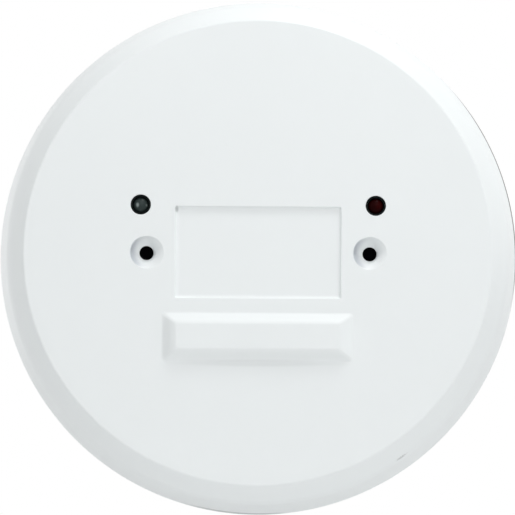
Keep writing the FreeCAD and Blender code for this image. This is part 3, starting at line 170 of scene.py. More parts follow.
class StudioSettings(bpy.types.PropertyGroup):
    """Camera, lamps and background"""

    distance: length("Distance", 4000, "Camera to the point that it looks at")
    elevation: angle("Elevation", -7.1, "Camera above the horizon")
    azimuth: angle("Azimuth", 0.4, "Camera round the upright axis")
    roll: angle("Roll", 0.38, "Tilt of the picture")
    aim: FloatVectorProperty(name="Aim", description="Point that the camera looks at", unit="LENGTH",
                             default=(mm(-0.24), 0, mm(0.3)))
    lens: FloatProperty(name="Lens", description="Focal length in millimetres", default=890.0, unit="CAMERA")
    room: FloatProperty(name="Room light", description="Strength of the light from all round", default=0.686)
    room_lean: FloatVectorProperty(name="Room lean", description="Where the light from all round is stronger",
                                   default=(0.32, -0.1, -0.1))
    floor: colour("Floor", (0.9, 0.9, 0.9), "Plain pale floor")
    floor_gap: length("Floor gap", 30, "Floor below the module, which hangs on a wall")


# Modelling helpers


def select_only(*pieces):
    bpy.ops.object.select_all(action="DESELECT")
    for piece in pieces:
        piece.select_set(True)
    bpy.context.view_layer.objects.active = pieces[0]


def start(name, primitive, **settings):
    """A primitive on its own, with its place in its mesh."""
    bpy.ops.object.select_all(action="DESELECT")
    primitive(**settings)
    piece = bpy.context.object
    piece.name = piece.data.name = name
    bpy.ops.object.transform_apply(location=True, rotation=True, scale=True)
    return piece


@contextmanager
def editing(piece, chosen=None):
    """Edit mode on a piece, with everything selected or only the edges whose ends pass a test."""
    select_only(piece)
    bpy.ops.object.mode_set(mode="EDIT")
    bpy.ops.mesh.select_mode(type="EDGE")
    bpy.ops.mesh.select_all(action="DESELECT" if chosen else "SELECT")
    if chosen:
        mesh = bmesh.from_edit_mesh(piece.data)
        for edge in mesh.edges:
            edge.select_set(all(chosen(vertex.co) for vertex in edge.verts))
        bmesh.update_edit_mesh(piece.data)
    yield
    bpy.ops.object.mode_set(mode="OBJECT")


def grow(scale_x, scale_z, move, centre):
    """Extrudes what is selected along Y and resizes the new end about a centre."""
    bpy.ops.mesh.extrude_region_move(TRANSFORM_OT_translate={"value": (0, move, 0)})
    if (scale_x, scale_z) != (1, 1):
        bpy.ops.transform.resize(value=(scale_x, 1, scale_z), center_override=centre)


def close_up(piece):
    """Merges doubled points and turns all faces outwards."""
    with editing(piece):
        bpy.ops.mesh.remove_doubles(threshold=mm(0.0005))
        bpy.ops.mesh.normals_make_consistent(inside=False)


def turned(name, rings, centre=(0, 0), steps=STEPS_FINE, tube=False):
    """Grows a circle through rings of (radius, depth) about an axis along Y; a tube ends where it began.

    A ring may carry a shift to the left and up as two more numbers."""
    x, z = centre
    radius, depth, *_ = rings[0]
    piece = start(name, bpy.ops.mesh.primitive_circle_add, vertices=steps, radius=radius,
                  fill_type="NOTHING" if tube else "NGON", location=(x, depth, z), rotation=(QUARTER, 0, 0))
    with editing(piece):
        for next_radius, next_depth, *shift in rings[1:] + (rings[:1] if tube else []):
            ratio = next_radius / radius
            grow(ratio, ratio, next_depth - depth, (x, next_depth, z))
            if shift:
                next_x, next_z = centre[0] - shift[0], centre[1] + shift[1]
                bpy.ops.transform.translate(value=(next_x - x, 0, next_z - z))
                x, z = next_x, next_z
            radius, depth = next_radius, next_depth
    close_up(piece)
    return piece


def repeated(name, rings, places, steps=STEPS_COARSE):
    """The same turned shape at several places."""
    return [turned(f"{name}_{index}", rings, place, steps) for index, place in enumerate(places)]


def stacked(name, width, height, rings, centre=(0, 0), corner=0.0, corner_steps=8):
    """Grows a rectangle with round corners through rings of (wider, taller, depth)."""
    x, z = centre
    wider, taller, depth = rings[0]
    across, up = width + 2 * wider, height + 2 * taller
    piece = start(name, bpy.ops.mesh.primitive_plane_add, size=1, location=(x, depth, z),
                  rotation=(QUARTER, 0, 0))
    with editing(piece):
        bpy.ops.transform.resize(value=(across, 1, up), center_override=(x, depth, z))
        if corner:
            bpy.ops.mesh.bevel(offset=corner, segments=corner_steps, affect="VERTICES")
            bpy.ops.mesh.select_all(action="SELECT")
        for wider, taller, next_depth in rings[1:]:
            next_across, next_up = width + 2 * wider, height + 2 * taller
            grow(next_across / across, next_up / up, next_depth - depth, (x, next_depth, z))
            across, up, depth = next_across, next_up, next_depth
    close_up(piece)
    return piece


def plain(low, high, lip=0.0):
    """Rings of a straight block or, with a lip, of one with softened ends."""
    if not lip:
        return [(0, 0, low), (0, 0, high)]
    soft = [(-lip, 0), (-lip * 0.3, lip * 0.3), (0, lip)]
    return ([(edge, edge, low + rise) for edge, rise in soft]
            + [(edge, edge, high - rise) for edge, rise in reversed(soft)])


def block(name, low, high):
    """A straight block between two corners."""
    low, high = Vector(low), Vector(high)
    return start(name, bpy.ops.mesh.primitive_cube_add, size=1, location=(low + high) / 2, scale=high - low)


def cut_off(piece, point, direction):
    """Cuts away what lies beyond a plane and closes the cut."""
    with editing(piece):
        bpy.ops.mesh.bisect(plane_co=point, plane_no=Vector(direction).normalized(), use_fill=True,
                            clear_outer=True, threshold=mm(0.0001))
    close_up(piece)


def soften(piece, ring, width, segments):
    """Rounds the edge that runs round at a ring's (radius, depth)."""
    radius, depth = ring
    near = mm(0.01)
    with editing(piece, lambda point: (
            abs(point.y - depth) < near and abs(math.hypot(point.x, point.z) - radius) < near)):
        bpy.ops.mesh.bevel(offset=width, segments=segments, affect="EDGES", profile=0.5)


def combine(piece, others, operation):
    """Joins the others to a piece, or cuts them out of it, and removes them."""
    group = bpy.data.collections.new("tools")
    for other in others:
        group.objects.link(other)
    step = piece.modifiers.new(operation.lower(), "BOOLEAN")
    step.operation = operation
    step.solver = "EXACT"
    step.operand_type = "COLLECTION"
    step.collection = group
    select_only(piece)
    bpy.ops.object.modifier_apply(modifier=step.name)
    bpy.data.collections.remove(group)
    for other in others:
        bpy.data.objects.remove(other)


def gather(name, pieces):
    """Joins several solids into one named piece."""
    select_only(*pieces)
    bpy.ops.object.join()
    pieces[0].name = pieces[0].data.name = name
    return pieces[0]


def copied(piece, name, matrix):
    """A copy with its own mesh, moved by a matrix."""
    twin = piece.copy()
    twin.data = piece.data.copy()
    twin.data.transform(matrix)
    twin.name = twin.data.name = name
    bpy.context.scene.collection.objects.link(twin)
    return twin


def dress(piece, finish, node, limit=32):
    """Smooths a piece up to a limit in degrees, gives it its finish, attaches it to the module's body and
    hides the node that it replaces.
    """
    select_only(piece)
    bpy.ops.object.shade_smooth_by_angle(angle=math.radians(limit))
    step = piece.modifiers.new("flat_faces", "WEIGHTED_NORMAL")
    step.keep_sharp, step.weight = True, 100
    bpy.ops.object.modifier_apply(modifier=step.name)
    piece.data.materials.clear()
    piece.data.materials.append(finish)
    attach(piece, "module")
    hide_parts(node)


def corners(across, up):
    return [(x * across / 2, z * up / 2) for x in (-1, 1) for z in (-1, 1)]


def sides(spacing, up=0.0):
    return [(-spacing / 2, up), (spacing / 2, up)]


def arc(radius, first, last, count, centre=(0, 0)):
    """Points on an arc between two angles in degrees, as (across, along)."""
    angles = [math.radians(first + (last - first) * index / count) for index in range(count + 1)]
    return [(centre[0] + radius * math.cos(a), centre[1] + radius * math.sin(a)) for a in angles]


# Shader helpers


class Signal:
    """A shader socket that takes part in Python arithmetic; each step adds a Math node."""

    def __init__(self, finish, socket):
        self.finish = finish
        self.socket = socket

    def maths(self, operation, *operands):
        return self.finish.node("Math", {"operation": operation}, dict(enumerate(operands)))

    def __add__(self, other):
        return self.maths("ADD", self, other)

    __radd__ = __add__

    def __sub__(self, other):
        return self.maths("SUBTRACT", self, other)

    def __rsub__(self, other):
        return self.maths("SUBTRACT", other, self)

    def __mul__(self, other):
        return self.maths("MULTIPLY", self, other)

    __rmul__ = __mul__

    def between(self, low, high):
        """0 below low and 1 above high, with a smooth step between them."""
        return self.finish.node("MapRange", {"interpolation_type": "SMOOTHSTEP"},
                                {"Value": self, "From Min": low, "From Max": high})


class Shading:
    """A shader tree under construction."""

    def __init__(self, tree):
        self.tree = tree

    def node(self, kind, settings, values, output=0):
        """Adds a node: its settings first, then the values or links of its sockets."""
        made = self.tree.nodes.new("ShaderNode" + kind)
        for name, value in settings.items():
            setattr(made, name, value)
        for socket, value in values.items():
            self.feed(made.inputs[socket], value)
        return Signal(self, made.outputs[output]) if made.outputs else None

    def along(self, place, direction):
        """How far a place lies in a direction."""
        return self.node("VectorMath", {"operation": "DOT_PRODUCT"}, {0: place, 1: direction}, "Value")

    def feed(self, socket, value):
        if isinstance(value, Signal):
            self.tree.links.new(value.socket, socket)
        elif socket.type == "RGBA":
            socket.default_value = (*value, 1)
        else:
            socket.default_value = value


class Finish(Shading):
    """A node material on one shader."""

    def __init__(self, name, **constants):
        self.material = bpy.data.materials.new(name)
        self.material.use_nodes = True
        super().__init__(self.material.node_tree)
        self.shader = self.tree.nodes["Principled BSDF"]
        self.out = self.tree.nodes["Material Output"].inputs["Surface"]
        for socket, value in constants.items():
            self.set(socket.replace("_", " ").title().replace("Ior", "IOR"), value)
        self.place = self.node("TexCoord", {}, {}, "Object")

    def set(self, socket, value):
        self.feed(self.shader.inputs[socket], value)

    def one_sided(self):
        """Makes the finish clear where it is seen from behind."""
        self.feed(self.out, self.node("MixShader", {}, {
            0: self.node("NewGeometry", {}, {}, "Backfacing"), 1: Signal(self, self.shader.outputs[0]),
            2: self.node("BsdfTransparent", {}, {})}))

    def noise(self, size, detail=2.0, roughness=0.5, place=None, distortion=0.0):
        """Soft noise from 0 to 1 whose features are about this size in metres."""
        return self.node("TexNoise", {}, {
            "Vector": place or self.place, "Scale": 1 / size, "Detail": detail, "Roughness": roughness,
            "Distortion": distortion})

    def moved(self, location=(0, 0, 0), rotation=(0, 0, 0), scale=(1, 1, 1)):
        """Object coordinates centred, turned and stretched for a local pattern."""
        shift = self.node("VectorMath", {"operation": "SUBTRACT"}, {0: self.place, 1: location})
        return self.node("Mapping", {"vector_type": "TEXTURE"},
                         {"Vector": shift, "Rotation": rotation, "Scale": scale})

    def across(self, x=0, z=0, wide=1, high=1):
        """Object coordinates about an axis along Y, without their depth."""
        return self.moved((x, 0, z), scale=(wide, FLAT, high))

    def distance(self, place):
        return self.node("VectorMath", {"operation": "LENGTH"}, {0: place}, "Value")

    def mix(self, factor, first, second):
        """A colour between two colours."""
        return self.node("Mix", {"data_type": "RGBA"}, {0: factor, 6: first, 7: second}, 2)

    def done(self, colour, roughness, height, relief):
        """The material, once its colour, roughness and bumps of up to some relief in metres are in."""
        self.set("Base Color", colour)
        self.set("Roughness", roughness)
        self.set("Normal", self.node("Bump", {}, {"Distance": relief, "Height": height}, "Normal"))
        return self.material


def tint(base, amount):
    return tuple(min(1.0, channel * amount) for channel in base)


def moulded_plastic(name, base, roughness=0.45, grain=mm(0.35), relief=mm(0.012), tone=0.012, coat=0.0,
                    gloss=0.5):
    """Injection-moulded plastic: a fine spark-eroded grain, faint flow clouds and a few specks."""
    finish = Finish(name, coat_weight=coat, coat_roughness=0.15, specular_ior_level=gloss)
    clouds = finish.noise(mm(28), 3)
    flow = finish.noise(mm(9), 2, distortion=1.2)
    specks = finish.noise(mm(1.1), 1).between(0.76, 0.8)
    blend = finish.mix(clouds, tint(base, 1 - tone), tint(base, 1 + tone))
    return finish.done(finish.mix(specks * 0.1, blend, tint(base, 0.72)),
                       roughness + (flow - 0.5) * 0.12 + specks * 0.1,
                       finish.noise(grain, 2, 0.6) * 0.8 + clouds * 0.2, relief)


def plated_metal(name, base, roughness=0.3, streak=(1, 1, 1), tone=0.12):
    """Plated or rolled metal with fine streaks and dull spots."""
    finish = Finish(name, metallic=1.0)
    streaks = finish.noise(mm(0.3), 4, 0.6, finish.moved(scale=streak))
    dull = finish.noise(mm(2.2), 3).between(0.5, 0.75)
    return finish.done(finish.mix(streaks, tint(base, 1 - tone), tint(base, 1 + tone)),
                       roughness + streaks * 0.12 + dull * 0.18, streaks, mm(0.006))


def glossy_coating(name, base, roughness=0.25, tone=0.08, coat=0.3):
    """Dipped or lacquered coating with a gentle waviness."""
    finish = Finish(name, coat_weight=coat, coat_roughness=0.08)
    wave = finish.noise(mm(1.8), 2)
    dust = finish.noise(mm(0.25), 2).between(0.62, 0.8)
    return finish.done(finish.mix(wave, tint(base, 1 - tone), tint(base, 1 + tone)), roughness + dust * 0.25,
                       wave * 0.8 + dust * 0.2, mm(0.03))


def bush_rubber(name, base):
    """Matt rubber with a dry bloom and a fine tooth."""
    finish = Finish(name)
    bloom = finish.noise(mm(3.5), 4, 0.6).between(0.45, 0.8)
    tooth = finish.noise(mm(0.18), 2)
    return finish.done(finish.mix(bloom * 0.5, base, tint(base, 2.6)), 0.62 + bloom * 0.2, tooth, mm(0.02))


def cover_white(name, base, size):
    """Satin white with a fine grain and a scuff, and painted shade: in the label recess's top-left corner, on
    the side band near its back edge, below and left of the bar, and on the dishes' left walls.
    """
    finish = Finish(name)
    clouds = finish.noise(mm(45), 3)
    flow = finish.noise(mm(12), 2, distortion=1.5)
    specks = finish.noise(mm(0.9), 1).between(0.79, 0.83)
    blend = finish.mix(clouds, tint(base, 0.988), tint(base, 1.01))
    blend = finish.mix(specks * 0.12, blend, tint(base, 0.7))

    place = finish.moved((mm(45.4), mm(-12), mm(-63.5)), (0, math.radians(-36), 0), (mm(3), mm(6), mm(0.4)))
    scuff = 1 - finish.distance(place).between(0.35, 1.0)
    broken = finish.noise(mm(0.35), 3).between(0.35, 0.6)
    blend = finish.mix(scuff * broken * 0.75, blend, (0.33, 0.34, 0.35))
    # Painted shade in the top-left corner of the label recess, mottled by noise.
    place = finish.moved((mm(-25.5), mm(-15), mm(13.6)), scale=(mm(0.75), mm(6), mm(1.4)))
    corner_shade = 1 - finish.distance(place).between(0.3, 1.0)
    blend = finish.mix(corner_shade * (0.25 + 0.6 * finish.noise(mm(0.5), 2)), blend, (0.3, 0.32, 0.32))

    # Painted shade: a dark line on the side band near its back edge, on the right and, fainter, at the
    # bottom.
    depth = finish.node("SeparateXYZ", {}, {"Vector": finish.place}, "Y")
    from_axis = finish.across()
    rim = depth.between(mm(-1.8), mm(-1.3)) * finish.distance(from_axis).between(mm(79.8), mm(80.2))
    radius = size.base_radius
    for x, z, first, last, share in ((0.96, 0.28, 0.88, 0.97, 0.97), (-0.08, -0.996, 0.97, 0.995, 0.35)):
        side = finish.along(from_axis, (x / radius, 0, z / radius)).between(first, last)
        blend = finish.mix(side * rim * share, blend, (0.09, 0.09, 0.09))

    # Painted shadow on the face just below the bar, and painted shade along its left foot.
    bar_low, bar_left = -size.bar_drop - size.bar_height / 2, -size.bar_width / 2
    for x, z, wide, high, share in ((0, bar_low - mm(0.8), mm(31), mm(1.5), 0.13),
                                    (bar_left + mm(1.2), bar_low + mm(7), mm(1.8), mm(9), 0.07)):
        foot = 1 - finish.distance(finish.across(x, z, wide, high)).between(0.4, 1.0)
        blend = finish.mix(foot * share, blend, (0.4, 0.42, 0.42))
    # Painted shade on the left walls of each dish, in a bluish grey.
    radius = size.dish_diameter / 2
    for x, z in sides(size.screw_spacing):
        from_hole = finish.across(x, z)
        side = finish.along(from_hole, (-1 / radius, 0, -0.1 / radius)).between(0.0, 0.95)
        out = finish.distance(from_hole)
        wall = out.between(mm(2.4), mm(4.6)) * (1 - out.between(radius, radius + mm(0.25)))
        blend = finish.mix(side * wall * 0.72, blend, (0.42, 0.45, 0.5))

    grain = finish.noise(mm(0.3), 2, 0.6)
    return finish.done(blend, 0.42 + (flow - 0.5) * 0.1 + scuff * 0.2,
                       grain * 0.85 + clouds * 0.15 - scuff * broken * 0.6, mm(0.01))


def lens_epoxy(name, base, centre, painted_glow, highlight_colour, painted_highlights, gloss):
    """A clear lens over a small cup, with a painted lighter middle and painted highlights, each highlight
    (across, up, size, share) in mm.
    """
    finish = Finish(name, specular_ior_level=gloss)
    x, z = centre
    # Painted light: the middle lighter than the rim, as if the cup inside were lit.
    middle = 1 - finish.distance(finish.across(x, z)).between(mm(2.0), mm(2.7))
    swirl = finish.noise(mm(0.9), 2)
    blend = finish.mix(middle * 0.8 + swirl * 0.35, base, painted_glow)
    # Painted highlights on the lens.
    for across, up, size, share in painted_highlights:
        spot = finish.across(x + mm(across), z + mm(up), mm(size), mm(size * 1.5))
        blend = finish.mix((1 - finish.distance(spot).between(0.1, 1.0)) * share, blend, highlight_colour)
    return finish.done(blend, 0.22, swirl, mm(0.004))


def board_green(name, base):
    """Solder mask over copper tracks, with the glass weave faintly raised."""
    finish = Finish(name, coat_weight=0.3, coat_roughness=0.2)
    weave = finish.node("TexChecker", {}, {"Vector": finish.place, "Scale": 1800.0}, "Fac")
    layout = {"offset": 0.37, "offset_frequency": 3, "squash": 0.6, "squash_frequency": 4}
    tracks = finish.node("TexBrick", layout, {
        "Vector": finish.moved(rotation=(QUARTER, 0, 0)), "Scale": 70.0, "Mortar Size": 0.018,
        "Brick Width": 1.9, "Row Height": 0.13}, "Fac")
    clouds = finish.noise(mm(14), 3)
    green = finish.mix(clouds, tint(base, 0.85), tint(base, 1.15))
    return finish.done(finish.mix(tracks * 0.45, green, tint(base, 2.0)), 0.3 + clouds * 0.1,
                       tracks + weave * 0.12, mm(0.03))


# Pieces


def settings(group):
    return getattr(bpy.context.scene, group)


def wall_line(first, last, wall):
    """The line beside an outer run at the wall's thickness, as a point and a direction."""
    along = (Vector(last) - Vector(first)).normalized()
    inward = Vector((-along.y, along.x))
    return Vector(first) + inward * wall, along


def crossing(first, second):
    (a, along_a), (b, along_b) = first, second
    share = (b - a).cross(along_b) / along_a.cross(along_b)
    return tuple(a + along_a * share)


def dish_shape(size, face, inner_floor):
    """The hollow disc: flat face, slope and side band, with soft edges."""
    edge, turn = (size.face_radius, face), (size.break_radius, face + size.slope_drop)
    base = (size.base_radius, 0.0)
    slope, band = wall_line(edge, turn, size.wall), wall_line(turn, base, size.wall)
    level = Vector((1, 0))
    foot = crossing(band, (Vector((0, 0)), level))
    inner_edge = crossing(slope, (Vector((0, inner_floor)), level))
    cover = turned("cover", [edge, turn, base, foot, crossing(band, slope), inner_edge], steps=STEPS_COVER)
    soften(cover, edge, size.face_edge, 6)
    soften(cover, turn, size.break_edge, 8)
    soften(cover, base, mm(0.25), 3)
    soften(cover, foot, mm(0.2), 2)
    soften(cover, inner_edge, mm(0.5), 3)
    return cover


def flange_well(housing, middle, flange_front):
    """The rectangular wall that carries the rear housing's flange."""
    wall = mm(2)
    well = stacked("well", housing.width, housing.height, plain(middle, flange_front), corner=housing.corner)
    hollow = stacked("well_hollow", housing.width - 2 * wall, housing.height - 2 * wall,
                     plain(middle - LAP, flange_front + LAP), corner=housing.corner - wall)
    combine(well, [hollow], "DIFFERENCE")
    return well


def gusset_webs(size, inner_floor):
    """Low webs between the floor and the side wall, each cut from a block by two slopes."""
    inside, outside, back = mm(60), size.break_radius - size.wall / 2, -size.depth + size.slope_drop
    spare, half = mm(3), mm(0.8)
    web = block("gusset_0", (inside, inner_floor - LAP, -half), (outside + spare, back + spare, half))
    cut_off(web, (inside, inner_floor, 0), (inner_floor - back, outside - inside, 0))
    cut_off(web, (outside, back, 0), (size.slope_drop, size.face_radius - size.break_radius, 0))
    return [web] + [copied(web, f"gusset_{index}", Matrix.Rotation(index * math.tau / GUSSETS, 4, "Y"))
                    for index in range(1, GUSSETS)]


def raised_bar(size, face, middle):
    """The raised bar: four slopes with a blended foot and a rounded top edge."""
    blend, foot, crown, inset, sunk, steps = mm(0.4), 0.2, 0.35, mm(0.9), mm(0.012), 6
    shares = [index / steps for index in range(steps + 1)]
    path = [(blend, 0, middle)]
    path += [(blend * (1 - share) ** 2, foot * share ** 2, face + sunk * (1 - share)) for share in shares]
    path += [(-inset * share ** 2, 1 - crown * (1 - share) ** 2, face) for share in shares]
    rings = [(out - size.bar_side_slope * up, out - size.bar_end_slope * up, depth - size.bar_rise * up)
             for out, up, depth in path]
    return stacked("bar", size.bar_width, size.bar_height, rings, (0, -size.bar_drop), corner=mm(1.1),
                   corner_steps=6)


def recess_tool(size, face):
    """The label recess, with a rolled lip and a small fillet round its floor."""
    floor = face + size.recess_depth
    wide, deep = mm(1.2), size.recess_depth - mm(0.2)
    rings = [(mm(0.31), face - mm(0.5)), (mm(0.3), face - mm(0.01)), (mm(0.12), face + mm(0.05)),
             (mm(0.03), face + mm(0.16))]
    rings += [(-wide + wide * across, floor - deep + deep * along) for across, along in arc(1, 0, 90, 8)]
    return stacked("recess_tool", size.recess_width, size.recess_height,
                   [(edge, edge, depth) for edge, depth in rings], corner=mm(0.5), corner_steps=4)


def dish_tool(size, face, place, index):
    """A bowl, steeper on its upper left, that runs on into the box-screw hole.

    The lip holds (out, down, lean) in mm, and the bowl shares of its width and depth, and lean in mm."""
    rim, hole = size.dish_diameter / 2, size.hole_diameter / 2
    lip = ((0.32, -0.4, -0.25), (0.3, -0.01, -0.25), (0.15, 0.05, -0.25), (0.05, 0.16, -0.16),
           (-0.1, 0.3, 0.06))
    bowl = ((0.87, 0.18, 0.35), (0.71, 0.37, 0.65), (0.59, 0.5, 0.78), (0.47, 0.625, 0.76),
            (0.33, 0.75, 0.62), (0.22, 0.84, 0.45), (0.12, 0.92, 0.26), (0.05, 0.97, 0.1), (0.01, 1.0, 0.0))
    rings = [(rim + mm(out), face + mm(down), mm(lean)) for out, down, lean in lip]
    rings += [(hole + (rim - hole) * across, face + size.dish_depth * along, mm(lean))
              for across, along, lean in bowl]
    left, up = 0.8, 0.6
    shifted = [(radius, depth, lean * left, lean * up) for radius, depth, lean in rings]
    shifted += [(hole, face + size.dish_depth + mm(0.15), 0, 0), (hole, mm(1), 0, 0)]
    return turned(f"dish_tool_{index}", shifted, place)


class RELAY_MODULE_OT_cover(bpy.types.Operator):
    """Models the round cover with its recess, bar, dished holes and what stands behind its face"""

    bl_idname = "relay_module.cover"
    bl_label = "Cover"

    def execute(self, context):
        size, light, housing = settings("cover_sizes"), settings("light_sizes"), settings("housing_sizes")
        face, inner_floor = -size.depth, -size.depth + size.wall
        middle = face + size.wall / 2
        flange_front, board_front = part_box("rear_housing")[0].y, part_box("circuit_board")[0].y
        dishes = sides(size.screw_spacing)
        housing_screws = corners(housing.screw_across, housing.screw_up)
        board_screws = corners(*BOARD_SCREWS)
        boss, post = size.dish_diameter / 2 + mm(2), size.post_diameter / 2
        wide_boss, wide_pilot, slim_boss, slim_pilot = mm(3.6), mm(1.5), mm(2.9), mm(1.3)

        cover = dish_shape(size, face, inner_floor)
        stands = [flange_well(housing, middle, flange_front)]
        for index, place in enumerate(dishes):
            stands.append(turned(f"dish_boss_{index}", [
                (boss, middle), (boss, face + size.dish_depth + mm(2))], place))
            stands.append(turned(f"post_{index}", [
                (post + mm(0.15), middle), (post + mm(0.05), mm(-0.3)), (post - mm(0.2), 0)], place))
        stands += repeated("housing_boss", [(wide_boss, middle), (wide_boss, flange_front)], housing_screws)
        stands += repeated("board_boss", [(slim_boss, middle), (slim_boss, board_front)], board_screws)
        stands += gusset_webs(size, inner_floor)
        stands.append(raised_bar(size, face, middle))
        combine(cover, stands, "UNION")

        tools = [recess_tool(size, face)]
        tools += [dish_tool(size, face, place, index) for index, place in enumerate(dishes)]
        hole = light.collar_diameter / 2 + light.hole_gap
        tools += repeated("light_hole", [
            (hole + mm(0.1), face - mm(0.3)), (hole + mm(0.08), face - mm(0.01)),
            (hole + mm(0.02), face + mm(0.04)), (hole, face + mm(0.1)), (hole, inner_floor + mm(0.3))],
            sides(light.spacing, light.rise), STEPS_FINE)
        core_width = size.bar_width - 2 * size.bar_side_slope - 2 * size.wall
        core_height = size.bar_height - 2 * size.bar_end_slope - size.wall
        tools.append(stacked("bar_core", core_width, core_height,
                             plain(inner_floor - mm(2.2), inner_floor + mm(0.2)), (0, -size.bar_drop)))
        tools += repeated("housing_pilot", [
            (wide_pilot, flange_front - mm(7)), (wide_pilot, flange_front + LAP)], housing_screws)
        tools += repeated("board_pilot", [
            (slim_pilot, board_front - mm(4)), (slim_pilot, board_front + LAP)], board_screws)
        combine(cover, tools, "DIFFERENCE")
        white = cover_white("cover_white", settings("finishes").cover, size)
        dress(cover, white, "cover_plate")
        return {"FINISHED"}


def through_holes(name, radius, front, back, places):
    """Hole tools with a small countersink at the back."""
    return repeated(name, [(radius, front - LAP), (radius, back - mm(0.2)),
                           (radius + mm(0.25), back + mm(0.02)), (radius + mm(0.3), back + mm(0.6))], places)


def brace_webs(size, back):
    """Four triangular webs between the tub's sides and the flange."""
    side, reach, rise, half = size.tub_width / 2, mm(7), mm(9), mm(0.8)
    made = []
    for index, (x, z) in enumerate(corners(2 * side, mm(27))):
        hand = 1 if x > 0 else -1
        near, far = sorted((hand * (side - LAP), hand * (side + reach)))
        web = block(f"brace_{index}", (near, back - LAP, z - half), (far, back + rise, z + half))
        cut_off(web, (hand * (side + reach), back, 0), (hand * rise, reach + LAP / 2, 0))
        made.append(web)
    return made


class RELAY_MODULE_OT_housing(bpy.types.Operator):
    """Models the rear housing: flange, drafted tub, braces and the holes for posts, screws and bushes"""

    bl_idname = "relay_module.housing"
    bl_label = "Rear housing"

    def execute(self, context):
        size, cover = settings("housing_sizes"), settings("cover_sizes")
        front, back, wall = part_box("rear_housing")[0].y, screw_seat(), size.tub_wall
        lean = math.tan(size.draft)
        rings = plain(front, back, mm(0.25))
        housing = stacked("housing", size.width, size.height, rings, corner=size.corner)
        bend = size.back_round
        side = [(0, front + mm(0.5)), *arc(bend, 0, 90, 6, (-bend, size.tub_depth - bend))]
        rings = [(edge - (depth - front) * lean, edge - (depth - front) * lean, depth)
                 for edge, depth in side]
        tub = stacked("tub", size.tub_width, size.tub_height, rings, corner=mm(5), corner_steps=10)
        combine(housing, [tub] + brace_webs(size, back), "UNION")

        floor = size.tub_depth - wall
        inset = -(floor - front) * lean
        tools = [stacked("cavity", size.tub_width - 2 * wall, size.tub_height - 2 * wall, [
            (0, 0, front - LAP), (inset, inset, floor)], corner=mm(3))]
        tools += through_holes("post_hole", cover.post_diameter / 2 + mm(0.3), front, back,
                               sides(cover.screw_spacing))
        tools += through_holes("screw_hole", mm(1.75), front, back, corners(size.screw_across, size.screw_up))
        tools += through_holes("bush_hole", mm(4.9), floor, size.tub_depth,
                               sides(size.bush_spacing, -size.bush_drop))
        mark = mm(2.2)
        tools += repeated("ejector_mark", [(mark, back - mm(0.12)), (mark + mm(0.05), back + mm(0.5))],
                          corners(mm(74), mm(49)))
        tools.append(stacked("label_place", mm(34), mm(15), [
            (mm(-0.2), mm(-0.2), size.tub_depth - mm(0.25)), (0, 0, size.tub_depth - mm(0.15)),
            (mm(0.1), mm(0.1), size.tub_depth + mm(0.5))], (0, mm(10)), mm(1.5)))
        combine(housing, tools, "DIFFERENCE")
        white = moulded_plastic("housing_white", settings("finishes").housing, 0.5)
        dress(housing, white, "rear_housing")
        return {"FINISHED"}


def screw_seat():
    """The back of the flange, on which the housing screws' heads sit."""
    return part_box("housing_screws")[1].y - SCREW_HEAD


class RELAY_MODULE_OT_lights(bpy.types.Operator):
    """Models the two indicator lights and the black collars that hold them"""

    bl_idname = "relay_module.lights"
    bl_label = "Indicator lights"

    def execute(self, context):
        light, finishes, cover = settings("light_sizes"), settings("finishes"), settings("cover_sizes")
        places = sides(light.spacing, light.rise)
        black = moulded_plastic("holder_black", (0.005, 0.008, 0.008), 0.55, mm(0.2), mm(0.01), 0.2,
                                gloss=0.1)
        # Each lens: its colour, its place, its painted lighter middle, the colour of its painted highlights,
        # the highlights and its gloss.
        lenses = {
            "power": lens_epoxy("power_lens", finishes.power_lens, places[0], (0.026, 0.038, 0.037),
                                (0.24, 0.28, 0.275), ((-1.0, -0.1, 0.7, 1.0), (1.85, -0.2, 0.4, 0.5)), 0.15),
            "relay": lens_epoxy("relay_lens", finishes.relay_lens, places[1], (0.013, 0.0005, 0.0005),
                                (0.028, 0.001, 0.001), ((0.9, 0.3, 1.6, 0.7),), 0.03),
        }
        radius, flange, lead, pitch = light.lens_diameter / 2, mm(2.9), mm(0.3), mm(1.27)
        bore, outer, foot, seat = radius + mm(0.06), light.collar_diameter / 2, mm(4.2), mm(2.96)
        shoulder = -cover.depth + cover.wall + mm(0.15)
        for (name, finish), (x, z) in zip(lenses.items(), places):
            front, board = (corner.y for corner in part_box(f"{name}_led_holder"))
            lens_low, lead_end = (corner.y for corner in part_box(f"{name}_led"))
            dome = [(across, lens_low + (radius - along) * 0.7) for across, along in arc(radius, 88, 0, 14)]
            lens = turned(f"{name}_light", dome + [
                (radius, board - mm(1.0)), (flange, board - mm(1.0)), (flange, board)], (x, z))
            leads = [turned(f"{name}_lead_{index}", [(lead, board - mm(0.2)), (lead, lead_end)],
                            (x + side * pitch, z), 16) for index, side in enumerate((-1, 1))]
            dress(gather(f"{name}_light", [lens] + leads), finish, f"{name}_led")

            collar = turned(f"{name}_collar", [
                (bore, front + mm(0.2)), (bore + mm(0.12), front), (outer - mm(0.15), front),
                (outer, front + mm(0.15)), (outer, shoulder), (foot - mm(0.1), shoulder),
                (foot, shoulder + mm(0.1)), (foot, board), (seat, board), (seat, board - mm(1.06)),
                (bore, board - mm(1.06))], (x, z), tube=True)
            dress(collar, black, f"{name}_led_holder")
        return {"FINISHED"}


